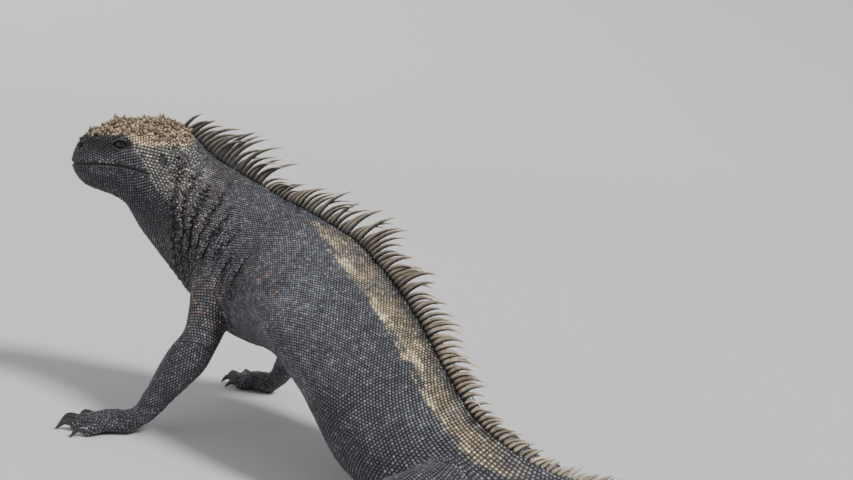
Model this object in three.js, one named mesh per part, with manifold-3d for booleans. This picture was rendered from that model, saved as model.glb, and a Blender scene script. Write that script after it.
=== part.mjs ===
// A marine iguana, life size, resting on the floor with its chest raised on its forelegs, its head held high and
// its tail laid out behind. Millimetres, +Z up, +X towards the head's side, +Y towards the animal's left.
// The floor is z = 0, and the origin is the middle of the animal's box on the floor.
import * as THREE from "three";
import Module from "manifold-3d";
import { mergeVertices } from "three/addons/utils/BufferGeometryUtils.js";

const wasm = await Module();
wasm.setup();
const { Manifold, Mesh } = wasm;

// Driving dimensions
const GAP = 0.3; // what neighbouring pieces keep between them
const FLAT = 0.5; // how deep a resting surface is planed off to make its flat
const NAPE = 330; // length of the back, from the root of the tail to the nape
const TAIL = 530; // length of the tail
const BODY_SIDES = 20; // corners of a ring round the trunk
const BODY_STEP = 16; // spacing of the rings along the back
const ROOF = 1.45; // how peaked the upper half of a body ring is: 2 is an ellipse, 1 a gable
const RIDGE = 2.2; // height of the fleshy ridge that carries the crest
const RIDGE_WIDTH = 6; // half width of that ridge

// Stations along the back: distance ahead of the tail's root, height of the back, heading turned clockwise from
// +X, lean of the back away from the animal's left, half width, depth, and share of the depth above the widest line.
const STATIONS = [
  [-530, 5.4, 28, 0, 1.8, 5.6, 0.5],
  [-470, 12.5, 22, 0, 3.6, 12.9, 0.5],
  [-380, 20.4, 10, 0, 6, 20.9, 0.5],
  [-260, 28.5, -4, 0, 10, 29, 0.52],
  [-170, 34.5, -12, 0, 14, 35, 0.53],
  [-110, 40, -14, 0, 18, 41, 0.55],
  [-70, 43.5, -13, 0, 21.5, 45, 0.56],
  [-45, 46.5, -11, 0.5, 24, 48.5, 0.57],
  [-22, 52, -2, 1, 28, 54.5, 0.57],
  [-5, 58, 25, 2, 32, 61, 0.58],
  [12, 63.5, 46, 3, 37, 68, 0.59],
  [30, 70, 55, 4, 42, 75, 0.6],
  [60, 84, 57, 8, 48, 82, 0.61],
  [95, 103, 54, 10, 52.5, 78, 0.64],
  [130, 120, 50, 10, 54, 80, 0.64],
  [165, 135, 44, 9, 53, 85, 0.62],
  [200, 146, 36, 7, 50, 91, 0.59],
  [235, 154, 28, 4, 46, 96, 0.54],
  [268, 164, 20, 2, 38, 88, 0.52],
  [300, 176, 13, 0, 30.5, 76, 0.52],
  [330, 193, 3, 0, 25, 60, 0.52],
];

// Where the body is parted, as distances along the back
const TAIL_CUTS = [-30, -190, -350];
const NECK_CUT = 262;

const radians = THREE.MathUtils.degToRad;
const smooth = (t) => t * t * (3 - 2 * t);

// The value of one column of a table of stations at distance s, through a monotone cubic.
function column(table, k, s) {
  const last = table.length - 1;
  if (s <= table[0][0]) return table[0][k];
  if (s >= table[last][0]) return table[last][k];
  let i = 0;
  while (table[i + 1][0] < s) i += 1;
  const slope = (a) =>
    a < 0 || a >= last ? 0 : (table[a + 1][k] - table[a][k]) / (table[a + 1][0] - table[a][0]);
  const tangent = (a) => {
    const before = slope(a - 1);
    const after = slope(a);
    if (a === 0) return after;
    if (a === last) return before;
    return before * after <= 0 ? 0 : (2 * before * after) / (before + after);
  };
  const width = table[i + 1][0] - table[i][0];
  const t = (s - table[i][0]) / width;
  const a = table[i][k];
  const b = table[i + 1][k];
  const ta = tangent(i) * width;
  const tb = tangent(i + 1) * width;
  return a + t * (ta + t * (3 * (b - a) - 2 * ta - tb + t * (2 * (a - b) + ta + tb)));
}

// The back's line, stepped both ways from the root of the tail.
const PATH_STEP = 1;
const path = new Map();
function stepPath(from, to) {
  const sign = Math.sign(to - from);
  let x = 0;
  let y = 0;
  for (let s = from; sign * (to - s) >= 0; s += sign * PATH_STEP) {
    path.set(s, [x, y]);
    const middle = s + (sign * PATH_STEP) / 2;
    const rise = column(STATIONS, 1, middle + 0.5) - column(STATIONS, 1, middle - 0.5);
    const level = Math.sqrt(Math.max(0, 1 - rise * rise));
    const heading = radians(-column(STATIONS, 2, middle));
    x += sign * PATH_STEP * level * Math.cos(heading);
    y += sign * PATH_STEP * level * Math.sin(heading);
  }
}
stepPath(0, NAPE + 10);
stepPath(0, -TAIL);

// Place and directions of the back's line at distance s.
function backFrame(s) {
  const low = Math.max(-TAIL, Math.min(NAPE + 9, Math.floor(s)));
  const t = s - low;
  const [xa, ya] = path.get(low);
  const [xb, yb] = path.get(low + 1) ?? path.get(low);
  const place = new THREE.Vector3(xa + t * (xb - xa), ya + t * (yb - ya), column(STATIONS, 1, s));
  const heading = radians(-column(STATIONS, 2, s));
  const rise = (column(STATIONS, 1, s + 2) - column(STATIONS, 1, s - 2)) / 4;
  const pitch = Math.asin(THREE.MathUtils.clamp(rise, -0.9, 0.9));
  const level = new THREE.Vector3(Math.cos(heading), Math.sin(heading), 0);
  const ahead = level.clone().multiplyScalar(Math.cos(pitch)).setZ(Math.sin(pitch));
  const left = new THREE.Vector3(-Math.sin(heading), Math.cos(heading), 0);
  left.applyAxisAngle(ahead, radians(column(STATIONS, 3, s)));
  const up = new THREE.Vector3().crossVectors(ahead, left);
  return { place, ahead, left, up, level };
}

// A point at the level of the floor's plan beside the back: ahead and aside in the body's heading, at height z.
function beside(s, ahead, aside, z) {
  const f = backFrame(s);
  const left = new THREE.Vector3(-f.level.y, f.level.x, 0);
  return f.place.clone().addScaledVector(f.level, ahead).addScaledVector(left, aside).setZ(z);
}

// A point on the body's skin: angle 0 is the animal's left, 90 degrees the back.
function bodyPoint(s, angle, grow = 0) {
  const f = backFrame(s);
  const half = column(STATIONS, 4, s);
  const depth = column(STATIONS, 5, s);
  const share = column(STATIONS, 6, s);
  const above = depth * share;
  const below = depth - above;
  const c = Math.cos(angle);
  const n = Math.sin(angle);
  const across = half * c;
  const peak = RIDGE * THREE.MathUtils.clamp(half / 30, 0.2, 1);
  const rise =
    n >= 0
      ? (above - peak) * Math.pow(Math.max(0, 1 - Math.pow(Math.abs(c), ROOF)), 0.62) +
        peak * Math.exp(-Math.pow(across / RIDGE_WIDTH, 2))
      : -below * Math.pow(-n, 0.85);
  const out = new THREE.Vector3()
    .addScaledVector(f.left, across)
    .addScaledVector(f.up, rise);
  if (grow) out.multiplyScalar(1 + grow / Math.max(out.length(), 1));
  return f.place.clone().addScaledVector(f.up, -above).add(out);
}

// A solid from a closed surface of points and triangles.
function solidOf(positions, faces) {
  const geometry = new THREE.BufferGeometry();
  geometry.setAttribute("position", new THREE.Float32BufferAttribute(positions.flatMap((p) => [p.x, p.y, p.z]), 3));
  geometry.setIndex(faces.flat());
  const merged = mergeVertices(geometry, 1e-4);
  const mesh = new Mesh({
    numProp: 3,
    vertProperties: merged.attributes.position.array,
    triVerts: new Uint32Array(merged.index.array),
  });
  const made = new Manifold(mesh);
  if (made.volume() >= 0) return made;
  return solidOf(positions, faces.map(([a, b, c]) => [a, c, b]));
}

function loft(rings) {
  const sides = rings[0].length;
  const positions = rings.flat();
  const faces = [];
  for (let i = 0; i + 1 < rings.length; i += 1)
    for (let j = 0; j < sides; j += 1) {
      const a = i * sides + j;
      const b = i * sides + ((j + 1) % sides);
      faces.push([a, b, a + sides], [b, b + sides, a + sides]);
    }
  for (const [ring, first] of [[rings[0], 0], [rings[rings.length - 1], (rings.length - 1) * sides]]) {
    const middle = ring.reduce((sum, p) => sum.add(p), new THREE.Vector3()).divideScalar(sides);
    positions.push(middle);
    const tip = positions.length - 1;
    for (let j = 0; j < sides; j += 1) {
      const a = first + j;
      const b = first + ((j + 1) % sides);
      faces.push(first === 0 ? [tip, b, a] : [tip, a, b]);
    }
  }
  return solidOf(positions, faces);
}

// A closed spike: rings with few corners, up to a point.
function spike(rings, point) {
  const sides = rings[0].length;
  const faces = [];
  for (let i = 0; i + 1 < rings.length; i += 1)
    for (let j = 0; j < sides; j += 1) {
      const a = i * sides + j;
      const b = i * sides + ((j + 1) % sides);
      faces.push([a, b, a + sides], [b, b + sides, a + sides]);
    }
  const last = (rings.length - 1) * sides;
  for (let j = 0; j < sides; j += 1) faces.push([last + j, last + ((j + 1) % sides), last + sides]);
  for (let j = 2; j < sides; j += 1) faces.push([0, j, j - 1]);
  return solidOf([...rings.flat(), point], faces);
}

// An elliptical ring about a place, square to a direction; flat gives its height over its width.
function ringAbout(place, direction, radius, sides, flat = 1, over = new THREE.Vector3(0, 0, 1)) {
  const ahead = direction.clone().normalize();
  const side = new THREE.Vector3().crossVectors(over, ahead);
  if (side.length() < 1e-3) side.set(0, 1, 0);
  side.normalize();
  const top = new THREE.Vector3().crossVectors(ahead, side);
  return Array.from({ length: sides }, (_, j) => {
    const a = (2 * Math.PI * j) / sides;
    return place
      .clone()
      .addScaledVector(side, radius * Math.cos(a))
      .addScaledVector(top, radius * flat * Math.sin(a));
  });
}

// A round-ended limb piece between two places, with its radii at even steps.
function limb(from, to, radii, sides = 12, flat = 1) {
  const direction = to.clone().sub(from);
  const ahead = direction.clone().normalize();
  const rings = [];
  const first = radii[0];
  const last = radii[radii.length - 1];
  const turns = [0.34, 0.8];
  for (const t of turns)
    rings.push(
      ringAbout(from.clone().addScaledVector(ahead, -first * Math.sqrt(1 - t * t)), ahead, first * t, sides, flat),
    );
  radii.forEach((radius, i) => {
    const place = from.clone().addScaledVector(direction, i / (radii.length - 1));
    rings.push(ringAbout(place, ahead, radius, sides, flat));
  });
  for (const t of [...turns].reverse())
    rings.push(
      ringAbout(to.clone().addScaledVector(ahead, last * Math.sqrt(1 - t * t)), ahead, last * t, sides, flat),
    );
  return loft(rings);
}

// A tapering tube along a smooth curve through places.
function taper(places, radii, sides, steps, flat = 1) {
  const curve = new THREE.CatmullRomCurve3(places);
  const rings = [];
  for (let i = 0; i <= steps; i += 1) {
    const t = i / steps;
    const at = t * (radii.length - 1);
    const k = Math.min(radii.length - 2, Math.floor(at));
    const radius = radii[k] + (at - k) * (radii[k + 1] - radii[k]);
    rings.push(ringAbout(curve.getPoint(t), curve.getTangent(t), radius, sides, flat));
  }
  return loft(rings);
}

const join = (pieces) => Manifold.union(pieces);
const largest = (made) => made.decompose().reduce((best, b) => (b.volume() > best.volume() ? b : best));
const onFloor = (made) => made.trimByPlane([0, 0, 1], 0);

// The half of a solid on the side of a plane that its normal points to, held back by half a gap.
function ahead(made, place, normal) {
  const n = normal.clone().normalize();
  return made.trimByPlane([n.x, n.y, n.z], n.dot(place) + GAP / 2);
}
const behind = (made, place, normal) => ahead(made, place, normal.clone().negate());

const nape = backFrame(NAPE);

// Body: one loft from the tip of the tail to the nape
function bodyLoft(grow = 0) {
  const rings = [];
  const angles = Array.from({ length: BODY_SIDES }, (_, j) => Math.PI / 2 + (2 * Math.PI * j) / BODY_SIDES);
  for (let s = -TAIL; s < -200; s += 33) rings.push(angles.map((a) => bodyPoint(s, a, grow)));
  for (let s = -200; s < NAPE; s += BODY_STEP) rings.push(angles.map((a) => bodyPoint(s, a, grow)));
  const front = angles.map((a) => bodyPoint(NAPE, a, grow));
  const middle = front.reduce((sum, p) => sum.add(p), new THREE.Vector3()).divideScalar(front.length);
  for (const [forward, share] of [[0, 1], [5, 0.86], [8, 0.6]])
    rings.push(
      front.map((p) => p.clone().sub(middle).multiplyScalar(share).add(middle).addScaledVector(nape.ahead, forward)),
    );
  return loft(rings);
}

// Head: stations from behind the nape to the tip of the snout, as distance ahead, top, bottom and half width
const HEAD_STATIONS = [
  [-16, -17, -56, 16],
  [-6, -6, -63, 21.5],
  [3, 2, -66, 24.5],
  [14, 4.5, -66, 25],
  [27, 4, -60, 24],
  [39, 4.5, -51, 21],
  [48, 3, -45.5, 18.5],
  [57, -3, -42, 17],
  [63, -6, -39.5, 15.5],
  [67.5, -9.5, -36, 12.5],
  [70.5, -16, -31, 7.5],
];
const HEAD_TURN = -12; // heading of the head, clockwise from +X
const HEAD_DIP = 7; // how far the snout points below level
const HEAD_SIDES = 20;

const headAhead = new THREE.Vector3(
  Math.cos(radians(HEAD_DIP)) * Math.cos(radians(-HEAD_TURN)),
  Math.cos(radians(HEAD_DIP)) * Math.sin(radians(-HEAD_TURN)),
  -Math.sin(radians(HEAD_DIP)),
);
const headLeft = new THREE.Vector3(-Math.sin(radians(-HEAD_TURN)), Math.cos(radians(-HEAD_TURN)), 0);
const headUp = new THREE.Vector3().crossVectors(headAhead, headLeft);

// A place in the head's own directions: ahead of the nape, towards the left, and up from the nape.
function headPlace(along, left, up) {
  return nape.place
    .clone()
    .addScaledVector(headAhead, along)
    .addScaledVector(headLeft, left)
    .addScaledVector(headUp, up);
}

// A point on the head's skin at a distance along it: angle 0 is its left, 90 degrees its top.
function headPoint(along, angle, grow = 0) {
  const top = column(HEAD_STATIONS, 1, along);
  const bottom = column(HEAD_STATIONS, 2, along);
  const half = column(HEAD_STATIONS, 3, along);
  const middle = top + (bottom - top) * 0.5;
  const c = Math.cos(angle);
  const n = Math.sin(angle);
  const across = Math.sign(c) * Math.pow(Math.abs(c), 0.85) * (half + grow);
  const rise = n >= 0 ? (top - middle + grow) * Math.pow(n, 0.8) : (bottom - middle - grow) * Math.pow(-n, 0.9);
  return headPlace(along, across, middle + rise);
}

// The point on one side of the head at a distance along it and a height from the nape.
function headSide(along, up, side) {
  const top = column(HEAD_STATIONS, 1, along);
  const bottom = column(HEAD_STATIONS, 2, along);
  const middle = top + (bottom - top) * 0.5;
  const share = THREE.MathUtils.clamp((up - middle) / (top - middle), -1, 1);
  const n = share >= 0 ? Math.pow(share, 1 / 0.8) : -Math.pow(-share, 1 / 0.9);
  const across = Math.pow(Math.sqrt(1 - n * n), 0.85) * column(HEAD_STATIONS, 3, along);
  return headPlace(along, side * across, up);
}

function headLoft(grow = 0) {
  const angles = Array.from({ length: HEAD_SIDES }, (_, j) => (2 * Math.PI * (j + 0.5)) / HEAD_SIDES);
  const rings = [];
  for (const along of [-16, -6, 4, 14, 24, 32, 39, 46, 53, 60, 65, 68.5, 70.5])
    rings.push(angles.map((a) => headPoint(along, a, grow)));
  return loft(rings);
}

// Eyes
const EYE_RADIUS = 6.4;
const EYE_AHEAD = 39.5;
const EYE_UP = -11.5;
const EYE_OUT = 13.4; // of its centre, from the middle of the head
const LID = 1.7;
const ball = (place, radius, detail = 2) => {
  const sphere = new THREE.SphereGeometry(radius, detail * 6, detail * 4);
  sphere.translate(place.x, place.y, place.z);
  return fromGeometry(sphere);
};
function fromGeometry(geometry) {
  const bare = new THREE.BufferGeometry();
  bare.setAttribute("position", geometry.attributes.position);
  if (geometry.index) bare.setIndex(geometry.index);
  const merged = mergeVertices(bare, 1e-4);
  return new Manifold(
    new Mesh({
      numProp: 3,
      vertProperties: new Float32Array(merged.attributes.position.array),
      triVerts: new Uint32Array(merged.index.array),
    }),
  );
}
const eyePlace = (side) => headPlace(EYE_AHEAD, side * EYE_OUT, EYE_UP);

// Mouth: the line of the lips along the head, as distance ahead and height from the nape, from its corner
const MOUTH = [[21, -31], [29, -28], [38, -25.4], [48, -24.2], [58, -24], [66, -24.2]];
const MOUTH_GROOVE = 0.75;
const LIP = 2.9;
const NOSTRIL = { along: 64.5, up: -12.5, rim: 3, hole: 1.5 };
const EAR = { along: 13, up: -22, length: 3.2, height: 4.6, depth: 2.2 };
const BROW = { from: [22, 19, -5], to: [59, 11.5, -7.5], radius: 3.8 };

// A tube with a few flat sides that follows the lips from corner to corner, round the snout.
function lipTube(radius, rise, inward) {
  const half = (side) =>
    MOUTH.map(([along, up]) => {
      const middle = headPlace(along, 0, up);
      const skin = headSide(along, up, side);
      return skin.addScaledVector(middle.sub(skin).normalize(), inward).addScaledVector(headUp, rise);
    });
  const front = headPlace(70.6 - inward, 0, -24.2 + rise);
  const places = [...half(1), front, ...half(-1).reverse()];
  return taper(places, [radius * 0.4, radius, radius, radius, radius * 0.4], 5, 16);
}

// Horny growths on the crown: short blunt cones, larger between the eyes and on the snout
const CONE_ROWS = [10.5, 16, 21.5, 27, 32.5, 38, 44, 50, 56, 62];
const CONE_ANGLES = [26, 50, 70, 90, 110, 130, 154];
const CONE_HEIGHT = 3.6;
const CONE_RADIUS = 2.4;
const EYE_CLEAR = 11.5; // nearest a growth stands to the middle of an eye

function cone(place, out, height, radius) {
  const foot = place.clone().addScaledVector(out, -1.2);
  return spike([ringAbout(foot, out, radius * 1.25, 5)], place.clone().addScaledVector(out, height));
}

function crownCones() {
  const cones = [];
  CONE_ROWS.forEach((along, i) => {
    CONE_ANGLES.forEach((degrees, j) => {
      const jitter = Math.sin(12.9 * i + 78.2 * j);
      const angle = radians(degrees + 4 * jitter + (i % 2) * 4);
      const at = along + 1.1 * Math.cos(37 * i + 11 * j);
      const place = headPoint(at, angle);
      const nearEye = [1, -1].some((side) => place.distanceTo(eyePlace(side)) < EYE_CLEAR);
      if (nearEye || (Math.abs(degrees - 90) > 60 && along > 30)) return;
      const out = headPlace(0, Math.cos(angle) * 0.8, Math.sin(angle) * 1.1).sub(headPlace(-0.15, 0, 0)).normalize();
      const size = (0.82 + 0.3 * Math.abs(jitter)) * (along > 50 ? 0.85 : 1);
      cones.push(cone(place, out, CONE_HEIGHT * size, CONE_RADIUS * size));
    });
  });
  return cones;
}

// Crest: height of the spines along the back, their spacing, and how far their tips lean back
const CREST = [
  [-512, 2.2], [-420, 4.2], [-300, 5.2], [-120, 6], [-40, 7], [0, 10.5], [40, 14.5], [80, 18.5], [130, 22], [190, 22],
  [232, 19], [246, 12.5], [256, 13], [266, 19.5], [290, 23], [310, 22], [320, 15],
];
const CREST_FROM = 319;
const CREST_TO = -506;
const CREST_STEP = 5.6;
const CREST_LEAN = 0.42;
const CREST_CLEAR = 3; // nearest a spine stands to a cut through the body

// A flattened spine with four edges, curved back and a little to one side.
function spine(s, side) {
  const f = backFrame(s);
  const height = column(CREST, 1, s);
  const long = Math.min(2.15, 1.15 + height * 0.06);
  const wide = Math.min(1.5, 0.7 + height * 0.04);
  const base = bodyPoint(s, Math.PI / 2).addScaledVector(f.up, -1.6);
  const level = (share, size) => {
    const place = base
      .clone()
      .addScaledVector(f.up, share * height + (share > 0 ? 1.6 : 0))
      .addScaledVector(f.ahead, -height * CREST_LEAN * share * (0.7 + 0.5 * share))
      .addScaledVector(f.left, side * height * 0.09 * share);
    return [[0, wide], [long, 0], [0, -wide], [-long, 0]].map(([a, b]) =>
      place.clone().addScaledVector(f.ahead, a * size).addScaledVector(f.left, b * size),
    );
  };
  const tip = level(1, 0);
  return spike([level(0, 1), level(0.5, 0.8)], tip[0]);
}

// The spines that stand between two distances along the back.
function crest(from, to) {
  const spines = [];
  let side = 1;
  for (let s = CREST_FROM; s > CREST_TO; s -= CREST_STEP * (s > -20 ? 1 : 1.55)) {
    side = -side;
    if (s < to - CREST_CLEAR && s > from + CREST_CLEAR) spines.push(spine(s, side));
  }
  return spines;
}

// Legs: joints as distances along the back, ahead, aside and height; the sign gives the side
const FORELEG = {
  left: { shoulder: [258, 6, 27, 110], elbow: [258, 0, 56, 64], wrist: [258, 28, 68, 14], turn: 20 },
  right: { shoulder: [258, 2, -27, 106], elbow: [258, -14, -57, 61], wrist: [258, 12, -66, 14], turn: -12 },
};
const HINDLEG = {
  left: { hip: [12, 0, 18, 30], knee: [12, 0, 68, 33], ankle: [12, -46, 84, 12], turn: 34 },
  right: { hip: [24, 4, -20, 30], knee: [24, 52, -54, 28.5], ankle: [24, 12, -84, 11], turn: -14 },
};
const UPPER_ARM = [16, 17, 15.5, 12.5, 11.5];
const FOREARM = [11.5, 12.5, 11, 8.5, 7.5];
const THIGH = [18, 20, 19, 16, 14];
const SHIN = [14, 14.5, 12, 9.5, 8.5];
const ANKLE_CUT = 14.5; // level at which a hind foot is parted from its shin
// Toes: where each starts across the foot, its turn, length, radius and claw, from the inner to the outer
const FINGERS = [
  [-8, -34, 15, 4, 9],
  [-4.5, -15, 23, 4.2, 10],
  [0, 0, 28, 4.3, 10.5],
  [4.5, 15, 27, 4.2, 10],
  [8, 38, 19, 4, 9],
];
const TOES = [
  [-9, -30, 17, 4.4, 9],
  [-5, -14, 28, 4.6, 10.5],
  [0, -2, 40, 4.7, 11],
  [5, 8, 50, 4.7, 11],
  [9, 36, 30, 4.3, 9.5],
];

// A foot flat on the floor: a sole ahead of the ankle with toes spread out from it.
function foot(ankle, heading, table, sole, side) {
  const ahead = new THREE.Vector3(Math.cos(heading), Math.sin(heading), 0);
  const aside = new THREE.Vector3(-Math.sin(heading), Math.cos(heading), 0).multiplyScalar(side);
  const floor = ankle.clone().setZ(0);
  const at = (forward, out, z) => floor.clone().addScaledVector(ahead, forward).addScaledVector(aside, out).setZ(z);
  const pieces = [
    taper([ankle.clone(), at(sole * 0.45, 0, 7), at(sole, 0, 5.5)], [8, 10, 8], 8, 3, 0.72),
    taper([at(sole * 0.78, -9, 5), at(sole * 0.85, 0, 5.5), at(sole * 0.78, 9, 5)], [3.5, 5.8, 5.8, 3.5], 7, 3),
  ];
  for (const [across, turn, length, radius, claw] of table) {
    const way = ahead.clone().applyAxisAngle(new THREE.Vector3(0, 0, 1), side * radians(turn));
    const root = at(sole * 0.62, across * 0.8, radius + 1);
    const along = (d, z) => root.clone().addScaledVector(way, d).setZ(z);
    const low = radius * 0.86 - FLAT;
    const knuckles = [
      [0, radius + 1, radius],
      [length * 0.36, radius + 3, radius * 1.05],
      [length * 0.7, radius + 0.9, radius * 0.98],
      [length, low + 0.2, radius * 0.86],
    ];
    const rings = knuckles.map(([d, z, r], k) => {
      const next = knuckles[Math.min(k + 1, 3)];
      const before = knuckles[Math.max(k - 1, 0)];
      const slope = way.clone().multiplyScalar(next[0] - before[0]).setZ(next[1] - before[1]);
      return ringAbout(along(d, z), slope, r, 6);
    });
    const hooked = [
      [length - 2.5, radius + 0.4, radius * 0.8],
      [length + claw * 0.42, radius + 1.3, radius * 0.52],
    ];
    pieces.push(
      loft(rings),
      spike(
        hooked.map(([d, z, r]) => ringAbout(along(d, z), way.clone().setZ(-0.25), r, 4, 1.3)),
        along(length + claw, 0.6),
      ),
    );
  }
  return join(pieces);
}

const named = {};

// Trunk, neck and tail are one shape, parted by planes across it
const shape = join([bodyLoft(), headLoft()]);
const cutPlace = (s) => [backFrame(s).place, backFrame(s).ahead];
const [tailCutA, tailCutB, tailCutC] = TAIL_CUTS.map(cutPlace);
const neckCut = cutPlace(NECK_CUT);
const headCut = [headPlace(3, 0, 0), headAhead.clone().addScaledVector(headUp, 0.2)];
named.tail_base = ahead(behind(shape, ...tailCutA), ...tailCutB);
named.tail_middle = ahead(behind(shape, ...tailCutB), ...tailCutC);
named.tail_end = behind(shape, ...tailCutC);
named.torso = behind(ahead(shape, ...tailCutA), ...neckCut);
named.neck = behind(ahead(shape, ...neckCut), ...headCut);
named.head = ahead(shape, ...headCut);

// Spines grow from each length of the body
const reach = { tail_end: [-TAIL, TAIL_CUTS[2]], tail_middle: [TAIL_CUTS[2], TAIL_CUTS[1]] };
reach.tail_base = [TAIL_CUTS[1], TAIL_CUTS[0]];
reach.torso = [TAIL_CUTS[0], NECK_CUT];
reach.neck = [NECK_CUT, NAPE];
for (const [name, [from, to]] of Object.entries(reach)) named[name] = join([named[name], ...crest(from, to)]);

const basis = new THREE.Matrix4().makeBasis(headAhead, headLeft, headUp);
function ellipsoid(place, length, width, height, around = 10) {
  const made = new THREE.SphereGeometry(1, around, 6);
  made.scale(length, width, height).applyMatrix4(basis).translate(place.x, place.y, place.z);
  return fromGeometry(made);
}

// Brows, lips, nostrils and ears are worked into the head
const head = [named.head, ...crownCones(), lipTube(LIP, 0, 1.7)];
for (const side of [1, -1]) {
  const [brow, snout] = [BROW.from, BROW.to].map(([along, out, up]) => headPlace(along, side * out, up));
  head.push(taper([brow, brow.clone().lerp(snout, 0.5), snout], [0.3, 1, 1, 0.3].map((r) => r * BROW.radius), 6, 4));
  head.push(ellipsoid(headSide(NOSTRIL.along, NOSTRIL.up, side), NOSTRIL.rim, NOSTRIL.rim * 0.8, NOSTRIL.rim, 8));
}
named.head = join(head).subtract(lipTube(MOUTH_GROOVE, 0, -0.9));
for (const side of [1, -1]) {
  const nostril = headSide(NOSTRIL.along, NOSTRIL.up, side).addScaledVector(headLeft, side * NOSTRIL.rim * 0.9);
  named.head = named.head.subtract(ellipsoid(nostril, NOSTRIL.hole * 1.2, 2.6, NOSTRIL.hole, 8));
  const ear = headSide(EAR.along, EAR.up, side);
  named.head = named.head.subtract(ellipsoid(ear, EAR.length, EAR.depth, EAR.height));
}

for (const [name, side] of [["left", 1], ["right", -1]]) {
  const eye = eyePlace(side);
  named.head = named.head.add(ball(eye, EYE_RADIUS + LID)).subtract(ball(eye, EYE_RADIUS + GAP));
  const opening = headPlace(EYE_AHEAD, side * (EYE_OUT + 7), EYE_UP);
  named.head = named.head.subtract(ellipsoid(opening, EYE_RADIUS * 0.84, 9, EYE_RADIUS * 0.56, 14));
  named[`eye_${name}`] = ball(eye, EYE_RADIUS);
}

const grown = join([bodyLoft(GAP), headLoft(GAP)]);
for (const [name, side] of [["left", 1], ["right", -1]]) {
  const arm = FORELEG[name];
  const [shoulder, elbow, wrist] = [arm.shoulder, arm.elbow, arm.wrist].map((j) => beside(...j));
  const hand = foot(wrist, Math.atan2(backFrame(258).level.y, backFrame(258).level.x) + radians(arm.turn), FINGERS, 24, side);
  const whole = join([limb(shoulder, elbow, UPPER_ARM, 10), limb(elbow, wrist, FOREARM, 9)]);
  const bend = wrist.clone().sub(elbow).normalize().add(elbow.clone().sub(shoulder).normalize());
  const lower = wrist.clone().sub(elbow);
  const wristCut = [wrist.clone().addScaledVector(lower.clone().normalize(), -3), lower];
  named[`upper_arm_${name}`] = behind(whole, elbow, bend).subtract(grown);
  named[`forearm_${name}`] = behind(ahead(whole, elbow, bend), ...wristCut).subtract(grown);
  named[`forefoot_${name}`] = ahead(join([whole, hand]), ...wristCut).subtract(grown);

  const leg = HINDLEG[name];
  const [hip, knee, ankle] = [leg.hip, leg.knee, leg.ankle].map((j) => beside(...j));
  const sole = foot(ankle, Math.atan2(backFrame(22).level.y, backFrame(22).level.x) + radians(leg.turn), TOES, 36, side);
  const shin = limb(knee, ankle, SHIN, 9);
  const all = join([limb(hip, knee, THIGH, 10), shin]);
  const kneeBend = ankle.clone().sub(knee).normalize().add(knee.clone().sub(hip).normalize());
  const ankleCut = [new THREE.Vector3(0, 0, ANKLE_CUT), new THREE.Vector3(0, 0, -1)];
  named[`thigh_${name}`] = behind(all, knee, kneeBend).subtract(grown);
  named[`shin_${name}`] = behind(ahead(all, knee, kneeBend), ...ankleCut).subtract(grown);
  named[`hindfoot_${name}`] = ahead(join([shin, sole]), ...ankleCut).subtract(grown);
}

// Everything stands on the floor, and the animal's box is centred on the origin
const solids = Object.entries(named).map(([name, made]) => [name, largest(onFloor(made))]);
const box = new THREE.Box3();
for (const [, made] of solids) {
  const b = made.boundingBox();
  box.expandByPoint(new THREE.Vector3(...b.min));
  box.expandByPoint(new THREE.Vector3(...b.max));
}
const shiftX = -(box.min.x + box.max.x) / 2;
const shiftY = -(box.min.y + box.max.y) / 2;

// Charcoal skin, a paler crust on the head and wet dark eyes
function material(name) {
  if (name.startsWith("eye")) return new THREE.MeshStandardMaterial({ color: 0x2a1a10, roughness: 0.1, metalness: 0 });
  if (name === "head") return new THREE.MeshStandardMaterial({ color: 0x55504a, roughness: 0.7, metalness: 0 });
  return new THREE.MeshStandardMaterial({ color: 0x33322f, roughness: 0.6, metalness: 0 });
}

const group = new THREE.Group();
group.name = "marine_iguana";
for (const [name, made] of solids) {
  const mesh = made.translate([shiftX, shiftY, 0]).getMesh();
  const geometry = new THREE.BufferGeometry();
  geometry.setAttribute("position", new THREE.BufferAttribute(new Float32Array(mesh.vertProperties), 3));
  geometry.setIndex(new THREE.BufferAttribute(new Uint32Array(mesh.triVerts), 1));
  const node = new THREE.Mesh(geometry, material(name));
  node.name = name;
  group.add(node);
}
export default group;
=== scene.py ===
"""A marine iguana's skin, scales, crest, eyes and claws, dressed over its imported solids.

Sizes are in millimetres in the animal's own plan until the last step of each piece, which turns them into
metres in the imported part's frame. +X is the side of the head, +Y the animal's left, and the floor is z = 0.
"""
import math
from collections import namedtuple

import bmesh
import bpy
import numpy as np
from mathutils import Matrix, Vector, kdtree
from mathutils.bvhtree import BVHTree


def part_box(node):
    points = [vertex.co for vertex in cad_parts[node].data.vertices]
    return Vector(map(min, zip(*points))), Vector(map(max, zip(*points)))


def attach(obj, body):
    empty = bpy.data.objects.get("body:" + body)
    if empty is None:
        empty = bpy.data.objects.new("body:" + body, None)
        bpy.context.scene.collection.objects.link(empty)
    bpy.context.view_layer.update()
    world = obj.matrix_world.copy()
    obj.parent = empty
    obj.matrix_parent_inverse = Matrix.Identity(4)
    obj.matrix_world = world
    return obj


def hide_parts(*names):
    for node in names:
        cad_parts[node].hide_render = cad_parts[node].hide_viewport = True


bl_info = {
    "name": "Marine iguana",
    "version": (1, 0, 0),
    "blender": (4, 5, 0),
    "location": "3D View > Sidebar > Iguana",
    "description": "Skin, scales, crest, eyes and claws of a resting marine iguana",
    "category": "Object",
}

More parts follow.
